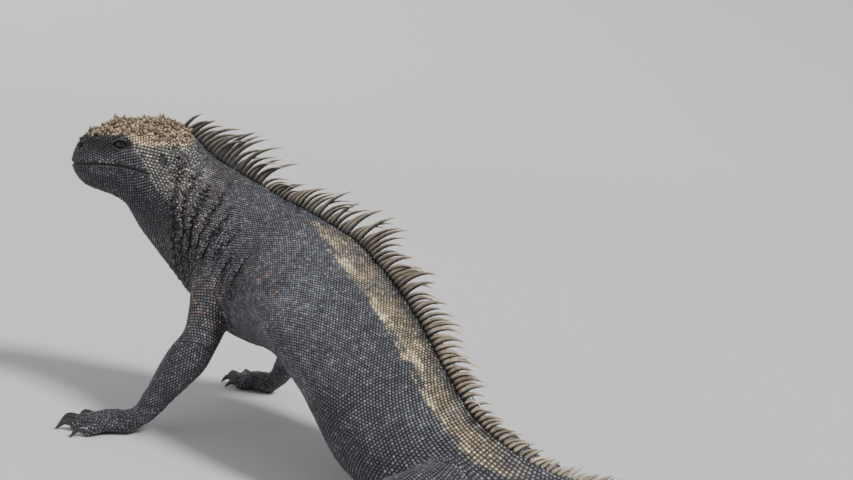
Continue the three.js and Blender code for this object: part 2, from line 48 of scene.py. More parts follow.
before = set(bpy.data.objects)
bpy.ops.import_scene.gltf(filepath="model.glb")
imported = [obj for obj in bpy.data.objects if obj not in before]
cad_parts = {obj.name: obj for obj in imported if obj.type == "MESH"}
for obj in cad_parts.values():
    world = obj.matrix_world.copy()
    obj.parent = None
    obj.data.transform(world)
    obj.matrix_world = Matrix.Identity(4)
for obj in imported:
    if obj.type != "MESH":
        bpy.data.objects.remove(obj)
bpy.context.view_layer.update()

MM = 0.001

# Driving dimensions of the trunk, neck and tail
NAPE = 330
TAIL = 530
ROOF = 1.45
RIDGE = 2.2
RIDGE_WIDTH = 6
FLAT = 0.5

# Stations along the back: distance ahead of the tail's root, height of the back, heading turned clockwise
# from +X, lean of the back away from the animal's left, half width, depth, and share of the depth above the
# widest line
STATIONS = np.array([
    [-530, 5.4, 28, 0, 1.8, 5.6, 0.5],
    [-470, 12.5, 22, 0, 3.6, 12.9, 0.5],
    [-380, 20.4, 10, 0, 6, 20.9, 0.5],
    [-260, 28.5, -4, 0, 10, 29, 0.52],
    [-170, 34.5, -12, 0, 14, 35, 0.53],
    [-110, 40, -14, 0, 18, 41, 0.55],
    [-70, 43.5, -13, 0, 21.5, 45, 0.56],
    [-45, 46.5, -11, 0.5, 24, 48.5, 0.57],
    [-22, 52, -2, 1, 28, 54.5, 0.57],
    [-5, 58, 25, 2, 32, 61, 0.58],
    [12, 63.5, 46, 3, 37, 68, 0.59],
    [30, 70, 55, 4, 42, 75, 0.6],
    [60, 84, 57, 8, 48, 82, 0.61],
    [95, 103, 54, 10, 52.5, 78, 0.64],
    [130, 120, 50, 10, 54, 80, 0.64],
    [165, 135, 44, 9, 53, 85, 0.62],
    [200, 146, 36, 7, 50, 91, 0.59],
    [235, 154, 28, 4, 46, 96, 0.54],
    [268, 164, 20, 2, 38, 88, 0.52],
    [300, 176, 13, 0, 30.5, 76, 0.52],
    [330, 193, 3, 0, 25, 60, 0.52],
])

# The head, from behind the nape to the tip of the snout: distance ahead, top, bottom and half width
HEAD_STATIONS = np.array([
    [-16, -17, -56, 16],
    [-6, -6, -63, 21.5],
    [3, 2, -66, 24.5],
    [14, 4.5, -66, 25],
    [27, 4, -60, 24],
    [39, 4.5, -51, 21],
    [48, 3, -45.5, 18.5],
    [57, -3, -42, 17],
    [63, -6, -39.5, 15.5],
    [67.5, -9.5, -36, 12.5],
    [70.5, -16, -31, 7.5],
])
HEAD_TURN = -12
HEAD_DIP = 7
MOUTH = np.array([[21, -31], [29, -28], [38, -25.4], [48, -24.2], [58, -24], [72, -24.2]], float)
NOSTRIL = (64.5, -12.5)
EAR = (13, -22)
EAR_SIZE = (3.2, 4.6)
BROW_FROM = (22, 19, -5)
BROW_TO = (59, 11.5, -7.5)
EYE_RADIUS = 6.4
EYE_AHEAD = 39.5
EYE_UP = -11.5
EYE_OUT = 13.4
LID_OPEN = (5.4, 3.3)

# Legs: joints as distance along the back, ahead, aside and height
FORELEG = {
    "left": dict(shoulder=(258, 6, 27, 110), elbow=(258, 0, 56, 64), wrist=(258, 28, 68, 14), turn=20),
    "right": dict(shoulder=(258, 2, -27, 106), elbow=(258, -14, -57, 61), wrist=(258, 12, -66, 14), turn=-12),
}
HINDLEG = {
    "left": dict(hip=(12, 0, 18, 30), knee=(12, 0, 68, 33), ankle=(12, -46, 84, 12), turn=34),
    "right": dict(hip=(24, 4, -20, 30), knee=(24, 52, -54, 28.5), ankle=(24, 12, -84, 11), turn=-14),
}
UPPER_ARM = (16, 17, 15.5, 12.5, 11.5)
FOREARM = (11.5, 12.5, 11, 8.5, 7.5)
THIGH = (18, 20, 19, 16, 14)
SHIN = (14, 14.5, 12, 9.5, 8.5)
FORE_SOLE = 24
HIND_SOLE = 36
# Toes: where each starts across the foot, its turn, length, radius and claw, from the inner to the outer
FINGERS = (
    (-8, -34, 15, 4, 9),
    (-4.5, -15, 23, 4.2, 10),
    (0, 0, 28, 4.3, 10.5),
    (4.5, 15, 27, 4.2, 10),
    (8, 38, 19, 4, 9),
)
TOES = (
    (-9, -30, 17, 4.4, 9),
    (-5, -14, 28, 4.6, 10.5),
    (0, -2, 40, 4.7, 11),
    (5, 8, 50, 4.7, 11),
    (9, 36, 30, 4.3, 9.5),
)

# Crest: height of the spines along the back
CREST = np.array([
    [-512, 2.2], [-420, 4.2], [-300, 5.2], [-120, 6], [-40, 7], [0, 10.5], [40, 14.5], [80, 18.5], [130, 22],
    [190, 22], [232, 19], [246, 12.5], [256, 13], [266, 19.5], [290, 23], [310, 22], [320, 15],
], float)
CREST_FROM = 329
CREST_TO = -508

# The camera and lens found from the photograph, in the animal's own plan
CAMERA_PLACE = (54.6, 496.9, 222.2)
CAMERA_DIP = 7.2
CAMERA_ROLL = 7.3
CAMERA_LENS = 42.2

# Creases of the loose skin: middle along the back, slant, depth, half width, lowest and highest reach
NECK_CREASES = (
    (318, 24, 2.2, 2.1, -0.85, 0.97),
    (309, 24, 2.8, 2.3, -0.95, 0.95),
    (300, 24, 2.5, 2.1, -0.85, 0.97),
    (291, 23, 3.2, 2.5, -0.97, 0.94),
    (282, 22, 2.6, 2.2, -0.9, 0.96),
    (273, 19, 3.3, 2.6, -0.92, 0.85),
    (263, 15, 2.5, 2.3, -0.75, 0.92),
    (253, 10, 3.0, 2.5, -0.8, 0.75),
    (243, 7, 2.2, 2.3, -0.5, 0.7),
    (233, 4, 2.4, 2.4, -0.6, 0.4),
    (223, 2, 1.6, 2.2, -0.4, 0.5),
)

# Lower rim of the band of shed skin beside the crest: distance along the back, and turn up from the widest
# line
SHED_RIM = np.array([
    [-30, 66], [0, 62], [26, 65], [60, 72], [104, 70], [154, 68], [185, 73], [212, 78],
], float)
# Lower edge of the crown's crust: distance along the head, and height from the nape
CRUST_EDGE = np.array([
    [0, -14], [22, -14], [29, -12.5], [33, -8.8], [37, -5.8], [47, -4.6], [59, -5], [66, -6.2], [72, -7],
], float)
# Colours of the hide and its markings
SKIN_COLOUR = (0.043, 0.044, 0.05)
RUST_COLOUR = (0.17, 0.09, 0.06)
SHED_COLOUR = (0.26, 0.2, 0.11)
PEEL_COLOUR = (0.46, 0.37, 0.22)
# A deeper charcoal, painted as shade on the belly
BELLY_SHADE_COLOUR = (0.03, 0.031, 0.036)
CROWN_COLOUR = (0.42, 0.305, 0.195)
CHEEK_COLOUR = (0.34, 0.32, 0.29)
EAR_COLOUR = (0.11, 0.108, 0.105)
THROAT_COLOUR = (0.022, 0.024, 0.03)
DUST_COLOUR = (0.1, 0.095, 0.088)

# How far the crest's spines lean back, beside their height
CREST_LEANS = np.array([
    [-500, 0.7], [-60, 0.75], [40, 0.8], [180, 0.78], [240, 0.75], [275, 0.62], [300, 0.5], [330, 0.36],
], float)
SPINE_DARK = (0.03, 0.028, 0.03)
SPINE_PALE = (0.64, 0.53, 0.38)

# Colours of the eyes, lids and claws
EYE_WHITE = (0.02, 0.014, 0.01)
EYE_IRIS = (0.022, 0.012, 0.008)
EYE_PUPIL = (0.003, 0.003, 0.003)
LID_COLOUR = (0.026, 0.026, 0.028)
CLAW_COLOUR = (0.022, 0.019, 0.018)

# Where the sun stands, and its strength
KEY_FROM = (-0.7, 0.34, 0.85)
KEY_STRENGTH = 3.6

# Crest, along the back: spacing of the spines, share of their height, how their curve grows, where round a
# spine its pale edge starts, and how pale that edge is
CREST_STEP = np.array([[-508, 3.6], [-200, 3.4], [-20, 3.1], [60, 3.7], [230, 3.3], [320, 3.2]])
CREST_SHARE = np.array([[-20, 1], [40, 1.25], [200, 1.28], [240, 1.05], [265, 1.25], [305, 1.35], [330, 1.2]])
CREST_CURL = np.array([[200, 1.7], [262, 1.9], [300, 2.3]])
EDGE_FROM = np.array([[70, -0.48], [150, -0.22], [230, -0.2], [262, -0.1], [285, 0.35]])
EDGE_SHARE = np.array([[-300, 0.35], [-60, 0.65], [0, 1], [60, 1], [235, 1], [265, 0.9], [290, 0.6]])

# Spacing of the scales along the back: small on the neck and trunk, in broad whorls down the tail
SCALE_PITCH = np.array([
    [-530, 1.9], [-470, 2.7], [-300, 3.2], [-120, 3.1], [-20, 2.3], [40, 1.92], [235, 1.9], [270, 1.75],
    [320, 1.72],
])
HEAD_PITCH = np.array([[0, 2.0], [30, 1.9], [45, 1.75], [70, 1.6]])
ROW_SHARE = 0.87
CREST_BARE = 1.9

# Crown and cheek, along the head from the nape: the crusted part's lower edge, the gap between tubercles and
# their height, and then the cheek's front edge by height
CROWN_EDGE = np.array([[26, -10], [36, -5.5], [46, -4.5], [60, -5.5], [66, -9]])
CROWN_GAP = np.array([[-4, 2.4], [15, 2.7], [40, 2.8], [58, 2.5], [71, 2.0]])
CROWN_RISE = np.array([[-4, 1.2], [15, 1.2], [40, 1.1], [71, 0.7]])
CHEEK_FRONT = np.array([[-56, 4], [-46, 13], [-39, 18.5], [-31, 23], [-20, 27], [-12, 33]])

# Painted shade at a scale's root and painted highlight at its tip, as shares of its colour, for hide, crown
# and cheek
HIDE_SHADE_AND_GLINT = (0.28, 2.9)
CROWN_SHADE_AND_GLINT = (0.25, 1.9)
CHEEK_SHADE_AND_GLINT = (0.06, 2.7)

# Most triangles in one piece of the coat, fewest points of a whole skin, and half the side of a scale's patch
# on the map
PIECE_LIMIT = 180000
FEWEST_POINTS = 20000
PATCH = 0.0014

# Points round the body where the nearest one is looked for, and round a ring where scales are spaced
BODY_SIDES = 72
RING_SIDES = 240
HEAD_SIDES = 180


def column(table, k, s):
    """One column of a table of stations at distances s, through a monotone cubic."""
    x = table[:, 0]
    y = table[:, k]
    slope = np.diff(y) / np.diff(x)
    tangent = np.empty_like(y)
    tangent[0] = slope[0]
    tangent[-1] = slope[-1]
    before = slope[:-1]
    after = slope[1:]
    same = before * after > 0
    tangent[1:-1] = np.where(same, 2 * before * after / np.where(same, before + after, 1), 0)
    s = np.clip(s, x[0], x[-1])
    i = np.clip(np.searchsorted(x, s, side="right") - 1, 0, len(x) - 2)
    width = x[i + 1] - x[i]
    t = (s - x[i]) / width
    a = y[i]
    b = y[i + 1]
    ta = tangent[i] * width
    tb = tangent[i + 1] * width
    return a + t * (ta + t * (3 * (b - a) - 2 * ta - tb + t * (2 * (a - b) + ta + tb)))


def look_up(table, x):
    """Values read off a table of places and values, straight between them."""
    return np.interp(x, table[:, 0], table[:, 1])


def turns(count):
    """Angles that divide a full turn evenly."""
    return np.arange(count) * 2 * math.pi / count


def keep_only(mask, *arrays):
    """The chosen rows of each array."""
    return [each[mask] for each in arrays]


def step_path(sign, count):
    """Plan of the back's line, stepped one way from the tail's root."""
    middle = sign * (np.arange(count) + 0.5)
    rise = column(STATIONS, 1, middle + 0.5) - column(STATIONS, 1, middle - 0.5)
    level = np.sqrt(np.maximum(0, 1 - rise * rise))
    heading = np.radians(-column(STATIONS, 2, middle))
    x = np.concatenate([[0], np.cumsum(sign * level * np.cos(heading))])
    y = np.concatenate([[0], np.cumsum(sign * level * np.sin(heading))])
    return x, y


AHEAD_X, AHEAD_Y = step_path(1, NAPE + 10)
BEHIND_X, BEHIND_Y = step_path(-1, TAIL)
PATH_S = np.arange(-TAIL, NAPE + 11)
PATH_X = np.concatenate([BEHIND_X[:0:-1], AHEAD_X])
PATH_Y = np.concatenate([BEHIND_Y[:0:-1], AHEAD_Y])


def unit(v):
    """The same directions at length 1."""
    return v / np.maximum(np.linalg.norm(v, axis=-1, keepdims=True), 1e-9)


def back_frame(s):
    """Place, ahead, left, up and level directions of the back's line at distances s."""
    s = np.atleast_1d(np.asarray(s, float))
    place = np.stack([np.interp(s, PATH_S, PATH_X), np.interp(s, PATH_S, PATH_Y), column(STATIONS, 1, s)], -1)
    heading = np.radians(-column(STATIONS, 2, s))
    rise = (column(STATIONS, 1, s + 2) - column(STATIONS, 1, s - 2)) / 4
    pitch = np.arcsin(np.clip(rise, -0.9, 0.9))
    zero = np.zeros_like(s)
    level = np.stack([np.cos(heading), np.sin(heading), zero], -1)
    ahead = level * np.cos(pitch)[:, None]
    ahead[:, 2] = np.sin(pitch)
    left = np.stack([-np.sin(heading), np.cos(heading), zero], -1)
    lean = np.radians(column(STATIONS, 3, s))[:, None]
    left = left * np.cos(lean) + np.cross(ahead, left) * np.sin(lean)
    up = np.cross(ahead, left)
    return place, ahead, left, up, level


def beside(s, forward, aside, height):
    """A place beside the back in the body's heading there."""
    place, _, _, _, level = back_frame(s)
    left = np.array([-level[0, 1], level[0, 0], 0])
    spot = place[0] + level[0] * forward + left * aside
    spot[2] = height
    return spot


def body_point(s, angle):
    """Points on the body: angle 0 is the animal's left and a quarter turn its back."""
    s, angle = np.broadcast_arrays(np.asarray(s, float), np.asarray(angle, float))
    flat_s = s.ravel()
    flat_a = angle.ravel()
    place, _, left, up, _ = back_frame(flat_s)
    half = column(STATIONS, 4, flat_s)
    depth = column(STATIONS, 5, flat_s)
    above = depth * column(STATIONS, 6, flat_s)
    below = depth - above
    c = np.cos(flat_a)
    n = np.sin(flat_a)
    across = half * c
    peak = RIDGE * np.clip(half / 30, 0.2, 1)
    top = (above - peak) * np.maximum(0, 1 - np.abs(c) ** ROOF) ** 0.62
    top = top + peak * np.exp(-((across / RIDGE_WIDTH) ** 2))
    bottom = -below * np.abs(n) ** 0.85
    rise = np.where(n >= 0, top, bottom)
    out = place + left * across[:, None] + up * (rise - above)[:, None]
    return out.reshape(s.shape + (3,))


NAPE_PLACE, NAPE_AHEAD, _, _, _ = (v[0] for v in back_frame(NAPE))
TURN = math.radians(-HEAD_TURN)
DIP = math.radians(HEAD_DIP)
HEAD_AHEAD = np.array([math.cos(DIP) * math.cos(TURN), math.cos(DIP) * math.sin(TURN), -math.sin(DIP)])
HEAD_LEFT = np.array([-math.sin(TURN), math.cos(TURN), 0])
HEAD_UP = np.cross(HEAD_AHEAD, HEAD_LEFT)
HEAD_AXES = np.stack([HEAD_AHEAD, HEAD_LEFT, HEAD_UP])


def head_place(along, left, up):
    """A place in the head's own directions from the nape."""
    along, left, up = np.broadcast_arrays(np.asarray(along, float), left, up)
    return NAPE_PLACE + np.stack([along, left, up], -1) @ HEAD_AXES


def head_point(along, angle):
    """Points on the head: angle 0 is its left and a quarter turn its top."""
    along, angle = np.broadcast_arrays(np.asarray(along, float), np.asarray(angle, float))
    top = column(HEAD_STATIONS, 1, along)
    bottom = column(HEAD_STATIONS, 2, along)
    half = column(HEAD_STATIONS, 3, along)
    middle = (top + bottom) / 2
    c = np.cos(angle)
    n = np.sin(angle)
    across = np.sign(c) * np.abs(c) ** 0.85 * half
    rise = np.where(n >= 0, (top - middle) * np.abs(n) ** 0.8, (bottom - middle) * np.abs(n) ** 0.9)
    return head_place(along, across, middle + rise)


def head_side(along, up, side):
    """The point on one side of the head at a distance along it and a height from the nape."""
    along = np.asarray(along, float)
    up = np.asarray(up, float)
    top = column(HEAD_STATIONS, 1, along)
    bottom = column(HEAD_STATIONS, 2, along)
    middle = (top + bottom) / 2
    share = np.clip((up - middle) / (top - middle), -1, 1)
    n = np.where(share >= 0, np.abs(share) ** 1.25, -np.abs(share) ** (1 / 0.9))
    across = np.sqrt(np.maximum(0, 1 - n * n)) ** 0.85 * column(HEAD_STATIONS, 3, along)
    return head_place(along, side * across, up)


def from_ear(u, v):
    """Distance from the middle of the ear, 1 being its rim."""
    return np.hypot((u - EAR[0]) / EAR_SIZE[0], (v - EAR[1]) / EAR_SIZE[1])


EYES = {side: head_place(EYE_AHEAD, side * EYE_OUT, EYE_UP) for side in (1, -1)}

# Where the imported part's frame lies in the animal's own plan, found from an eye
LOW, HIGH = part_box("eye_left")
EYE_CENTRE = (np.array(LOW) + np.array(HIGH)) / 2 / MM
SHIFT = EYE_CENTRE - EYES[1]
SHIFT[2] = 0


def smooth_step(x, low, high):
    """0 below low, 1 above high, and smooth between."""
    t = np.clip((x - low) / (high - low), 0, 1)
    return t * t * (3 - 2 * t)


def bump(x, width):
    """A soft hump of the given half width about 0."""
    return np.exp(-((x / width) ** 2))


def ripple(points, size, seed):
    """Smooth noise between about -1 and 1, with features of the given size."""
    draw = np.random.default_rng(seed)
    total = np.zeros(len(points))
    for octave in range(3):
        ways = draw.normal(size=(5, 3))
        ways = unit(ways) * (2 * math.pi / size) * 1.7 ** octave
        phase = draw.uniform(0, 2 * math.pi, 5)
        wave = np.sin(points @ ways.T + phase)
        total += wave.sum(1) / 5 / 1.6 ** octave
    return total * 1.3


# Making meshes


def lift(points):
    """From millimetres in the animal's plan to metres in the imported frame."""
    return (np.asarray(points, float) + SHIFT) * MM


def new_object(name, points, faces, placed=False):
    """An object at the origin with its place in its mesh."""
    mesh = bpy.data.meshes.new(name)
    mesh.from_pydata((np.asarray(points) if placed else lift(points)).tolist(), [], faces)
    mesh.update()
    made = bpy.data.objects.new(name, mesh)
    bpy.context.collection.objects.link(made)
    return made


def only(*objects):
    """Selects these objects and nothing else, the first being active."""
    bpy.ops.object.select_all(action="DESELECT")
    for each in objects:
        each.select_set(True)
    bpy.context.view_layer.objects.active = objects[0]


def loft_faces(rings, sides):
    """Faces of a closed tube of rings, capped by fans at both ends."""
    faces = []
    for i in range(rings - 1):
        for j in range(sides):
            k = (j + 1) % sides
            faces.append((i * sides + j, i * sides + k, (i + 1) * sides + k, (i + 1) * sides + j))
    first = rings * sides
    last = (rings - 1) * sides
    for j in range(sides):
        k = (j + 1) % sides
        faces.append((first, k, j))
        faces.append((first + 1, last + j, last + k))
    return faces


def loft(name, rings):
    """A closed object from rings of points."""
    rings = np.asarray(rings)
    count, sides, _ = rings.shape
    points = np.concatenate([rings.reshape(-1, 3), [rings[0].mean(0)], [rings[-1].mean(0)]])
    return new_object(name, points, loft_faces(count, sides))


def ring_about(place, direction, radius, sides, flat=1.0):
    """An elliptical ring about a place, square to a direction."""
    ahead = unit(np.asarray(direction, float))
    side = np.cross([0, 0, 1], ahead)
    if np.linalg.norm(side) < 1e-3:
        side = np.array([0, 1.0, 0])
    side = unit(side)
    top = np.cross(ahead, side)
    a = turns(sides)
    return place + radius * (np.cos(a)[:, None] * side + flat * np.sin(a)[:, None] * top)


def through(values, count):
    """Count values along a smooth curve through the given ones."""
    values = np.asarray(values, float)
    if values.ndim == 1:
        values = values[:, None]
    knots = np.arange(len(values), dtype=float)
    spots = np.linspace(0, len(values) - 1, count)
    tables = [np.stack([knots, values[:, k]], -1) for k in range(values.shape[1])]
    out = np.stack([column(each, 1, spots) for each in tables], -1)
    return out if out.shape[1] > 1 else out[:, 0]


def limb_rings(start, end, radii, sides=28, count=22):
    """Rings of a round-ended limb between two places."""
    direction = end - start
    ahead = unit(direction)
    rings = []
    for t in (0.2, 0.45, 0.7, 0.9):
        rings.append(ring_about(start - ahead * radii[0] * math.sqrt(1 - t * t), ahead, radii[0] * t, sides))
    for share, radius in zip(np.linspace(0, 1, count), through(radii, count)):
        rings.append(ring_about(start + direction * share, ahead, radius, sides))
    for t in (0.9, 0.7, 0.45, 0.2):
        rings.append(ring_about(end + ahead * radii[-1] * math.sqrt(1 - t * t), ahead, radii[-1] * t, sides))
    return np.array(rings)


def tube_rings(places, radii, sides, count, flat=1.0):
    """Rings of a tapering tube along a smooth curve."""
    line = through(places, count)
    size = through(radii, count)
    way = np.gradient(line, axis=0)
    return np.array([ring_about(line[i], way[i], size[i], sides, flat) for i in range(count)])


Leg = namedtuple("Leg", "name joints heading side radii toes sole")


def leg_joints():
    """Every leg's joints as places, with the foot's heading and its toes."""
    kinds = (
        ("fore_", FORELEG, 258, ("shoulder", "elbow", "wrist"), (UPPER_ARM, FOREARM), FINGERS, FORE_SOLE),
        ("hind_", HINDLEG, 22, ("hip", "knee", "ankle"), (THIGH, SHIN), TOES, HIND_SOLE),
    )
    legs = []
    for name, side in (("left", 1), ("right", -1)):
        for kind, table, station, order, radii, toes, sole in kinds:
            ahead = back_frame(station)[4][0]
            heading = math.atan2(ahead[1], ahead[0]) + math.radians(table[name]["turn"])
            joints = [beside(*table[name][j]) for j in order]
            legs.append(Leg(kind + name, joints, heading, side, radii, toes, sole))
    return legs


def foot_ways(leg):
    """Directions of a foot: ahead, and away from the animal's middle."""
    ahead = np.array([math.cos(leg.heading), math.sin(leg.heading), 0])
    aside = np.array([-math.sin(leg.heading), math.cos(leg.heading), 0]) * leg.side
    return ahead, aside


def toe_line(leg, toe):
    """Knuckles of one toe as places and radii, and the line of its claw."""
    across, turn, length, radius, claw = toe
    ankle = leg.joints[2]
    ahead, aside = foot_ways(leg)
    a = leg.heading + leg.side * math.radians(turn)
    way = np.array([math.cos(a), math.sin(a), 0])
    root = np.array([ankle[0], ankle[1], 0]) + ahead * leg.sole * 0.62 + aside * across * 0.8
    low = radius * 0.86 - FLAT

    def along(d, z):
        return root + way * d + np.array([0, 0, z])

    knuckles = [
        (along(0, radius + 1), radius),
        (along(length * 0.36, radius + 3), radius * 1.05),
        (along(length * 0.7, radius + 0.9), radius * 0.98),
        (along(length, low + 0.2), radius * 0.86),
    ]
    hook = [
        along(length - 2.5, radius + 0.4),
        along(length + claw * 0.42, radius + 1.3),
        along(length + claw * 0.8, radius * 0.5 + 0.8),
        along(length + claw, 0.6),
    ]
    return knuckles, hook


def nearest_on_body(points):
    """Distance along the back and angle round it of the body's form nearest to each point."""
    s = np.arange(-TAIL, NAPE + 1, 3.0)
    a = turns(BODY_SIDES)
    grid = body_point(s[:, None], a[None, :])
    tree = kdtree.KDTree(grid.shape[0] * grid.shape[1])
    for i, spot in enumerate(grid.reshape(-1, 3).tolist()):
        tree.insert(spot, i)
    tree.balance()
    found = np.array([tree.find(p)[1] for p in points.tolist()])
    return s[found // BODY_SIDES], a[found % BODY_SIDES]


def relax(points, edges, weight, rounds):
    """Draws each point towards the middle of its neighbours by its weight."""
    count = len(points)
    degree = np.maximum(np.bincount(edges.ravel(), minlength=count), 1)
    for _ in range(rounds):
        middle = np.empty_like(points)
        for k in range(3):
            sums = np.bincount(edges[:, 0], points[edges[:, 1], k], count)
            sums += np.bincount(edges[:, 1], points[edges[:, 0], k], count)
            middle[:, k] = sums / degree
        points = points + weight[:, None] * (middle - points)
    return points


def read_points(mesh):
    """A mesh's points as millimetres in the animal's plan."""
    flat = np.empty(len(mesh.vertices) * 3)
    mesh.vertices.foreach_get("co", flat)
    return flat.reshape(-1, 3) / MM - SHIFT


def write_points(mesh, points):
    """Gives a mesh points from millimetres in the animal's plan."""
    mesh.vertices.foreach_set("co", lift(points).ravel())
    mesh.update()


def read_edges(mesh):
    """A mesh's edges as pairs of points."""
    flat = np.empty(len(mesh.edges) * 2, dtype=np.int64)
    mesh.edges.foreach_get("vertices", flat)
    return flat.reshape(-1, 2)


def read_normals(mesh):
    """A mesh's normals at its points."""
    flat = np.empty(len(mesh.vertices) * 3)
    mesh.vertices.foreach_get("normal", flat)
    return flat.reshape(-1, 3)


def head_spot(points):
    """Distance along the head, towards its left and up from the nape."""
    local = (points - NAPE_PLACE) @ HEAD_AXES.T
    return local[:, 0], local[:, 1], local[:, 2]


def from_line(points, start, end):
    """Distance of points from a straight line between two places."""
    way = end - start
    t = np.clip(((points - start) @ way) / (way @ way), 0, 1)
    return np.linalg.norm(points - start - t[:, None] * way, axis=1)


def creases(s, a, points):
    """Depth of the folds of loose skin on the neck and shoulder."""
    h = np.sin(a)
    wander = 2.4 * ripple(points, 40, 5)
    depth = np.zeros(len(s))
    for middle, slant, deep, wide, low, high in NECK_CREASES:
        off = s - (middle + slant * h + wander)
        reach = smooth_step(h, low - 0.2, low + 0.2) * (1 - smooth_step(h, high - 0.25, high + 0.15))
        side = smooth_step(np.abs(np.cos(a)), 0.06, 0.3)
        depth -= deep * bump(off, wide) * reach * side
        depth += 0.28 * deep * bump(np.abs(off) - 4.4, 2.4) * reach * side
    return depth


def head_forms(points):
    """How far the head's skin stands out or in for the brow, lips, nostrils and ears."""
    u, w, v = head_spot(points)
    out = np.zeros(len(points))
    off = v - look_up(MOUTH, u)
    lips = smooth_step(u, 19, 26) * (np.abs(off) < 6)
    out += lips * (0.7 * bump(off - 1.7, 1.1) + 0.6 * bump(off + 1.7, 1.1) - 1.3 * bump(off, 0.6))
    for side in (1, -1):
        here = w * side > 0
        start, end = (head_place(ahead, side * aside, up) for ahead, aside, up in (BROW_FROM, BROW_TO))
        brow = from_line(points, start, end)
        out += here * 3.1 * bump(brow, 3.4)
        nostril = np.linalg.norm(points - head_side(*NOSTRIL, side), axis=1)
        out += here * (1.7 * bump(nostril - 2.3, 1.2) - 2.4 * bump(nostril, 1.3))
        jowl = np.linalg.norm(points - head_side(19, -40, side), axis=1)
        out += here * 2.0 * bump(jowl, 10)
        e = from_ear(u, v)
        out += here * (0.5 * bump(e - 1.35, 0.3) - 1.1 * (1 - smooth_step(e, 0.6, 1.15)))
    return out * (u > 2)


def on_cheek(u, v):
    """How far a spot on the side of the head lies on the cheek behind the eye and the corner of the mouth."""
    edge = look_up(CHEEK_FRONT, v)
    return smooth_step(edge - u, -1, 4) * smooth_step(-v, 10, 14) * (1 - smooth_step(-v, 40, 54))


def from_eye(points, side):
    """Where points lie from the middle of an eye: as offsets, ahead, up and out of the head."""
    rel = points - EYES[side]
    return rel, rel @ HEAD_AHEAD, rel @ HEAD_UP, rel @ HEAD_LEFT * side


def open_eyes(points):
    """Domes the lids over each eye and opens an almond between them."""
    points = points.copy()
    for side in (1, -1):
        rel, along, up, outward = from_eye(points, side)
        r = np.linalg.norm(rel, axis=1)
        way = rel / np.maximum(r, 1e-6)[:, None]
        dome = (outward > 0) & (r < EYE_RADIUS + 1.5)
        points[dome] = EYES[side] + way[dome] * (EYE_RADIUS + 1.5)
        wide, high = LID_OPEN
        inside = (np.abs(along) < wide) & (np.abs(up) < high * (1 - (along / wide) ** 2))
        inside &= (outward > 0) & (r < 12)
        points[inside] = EYES[side] + way[inside] * (EYE_RADIUS - 1.4)
    return points


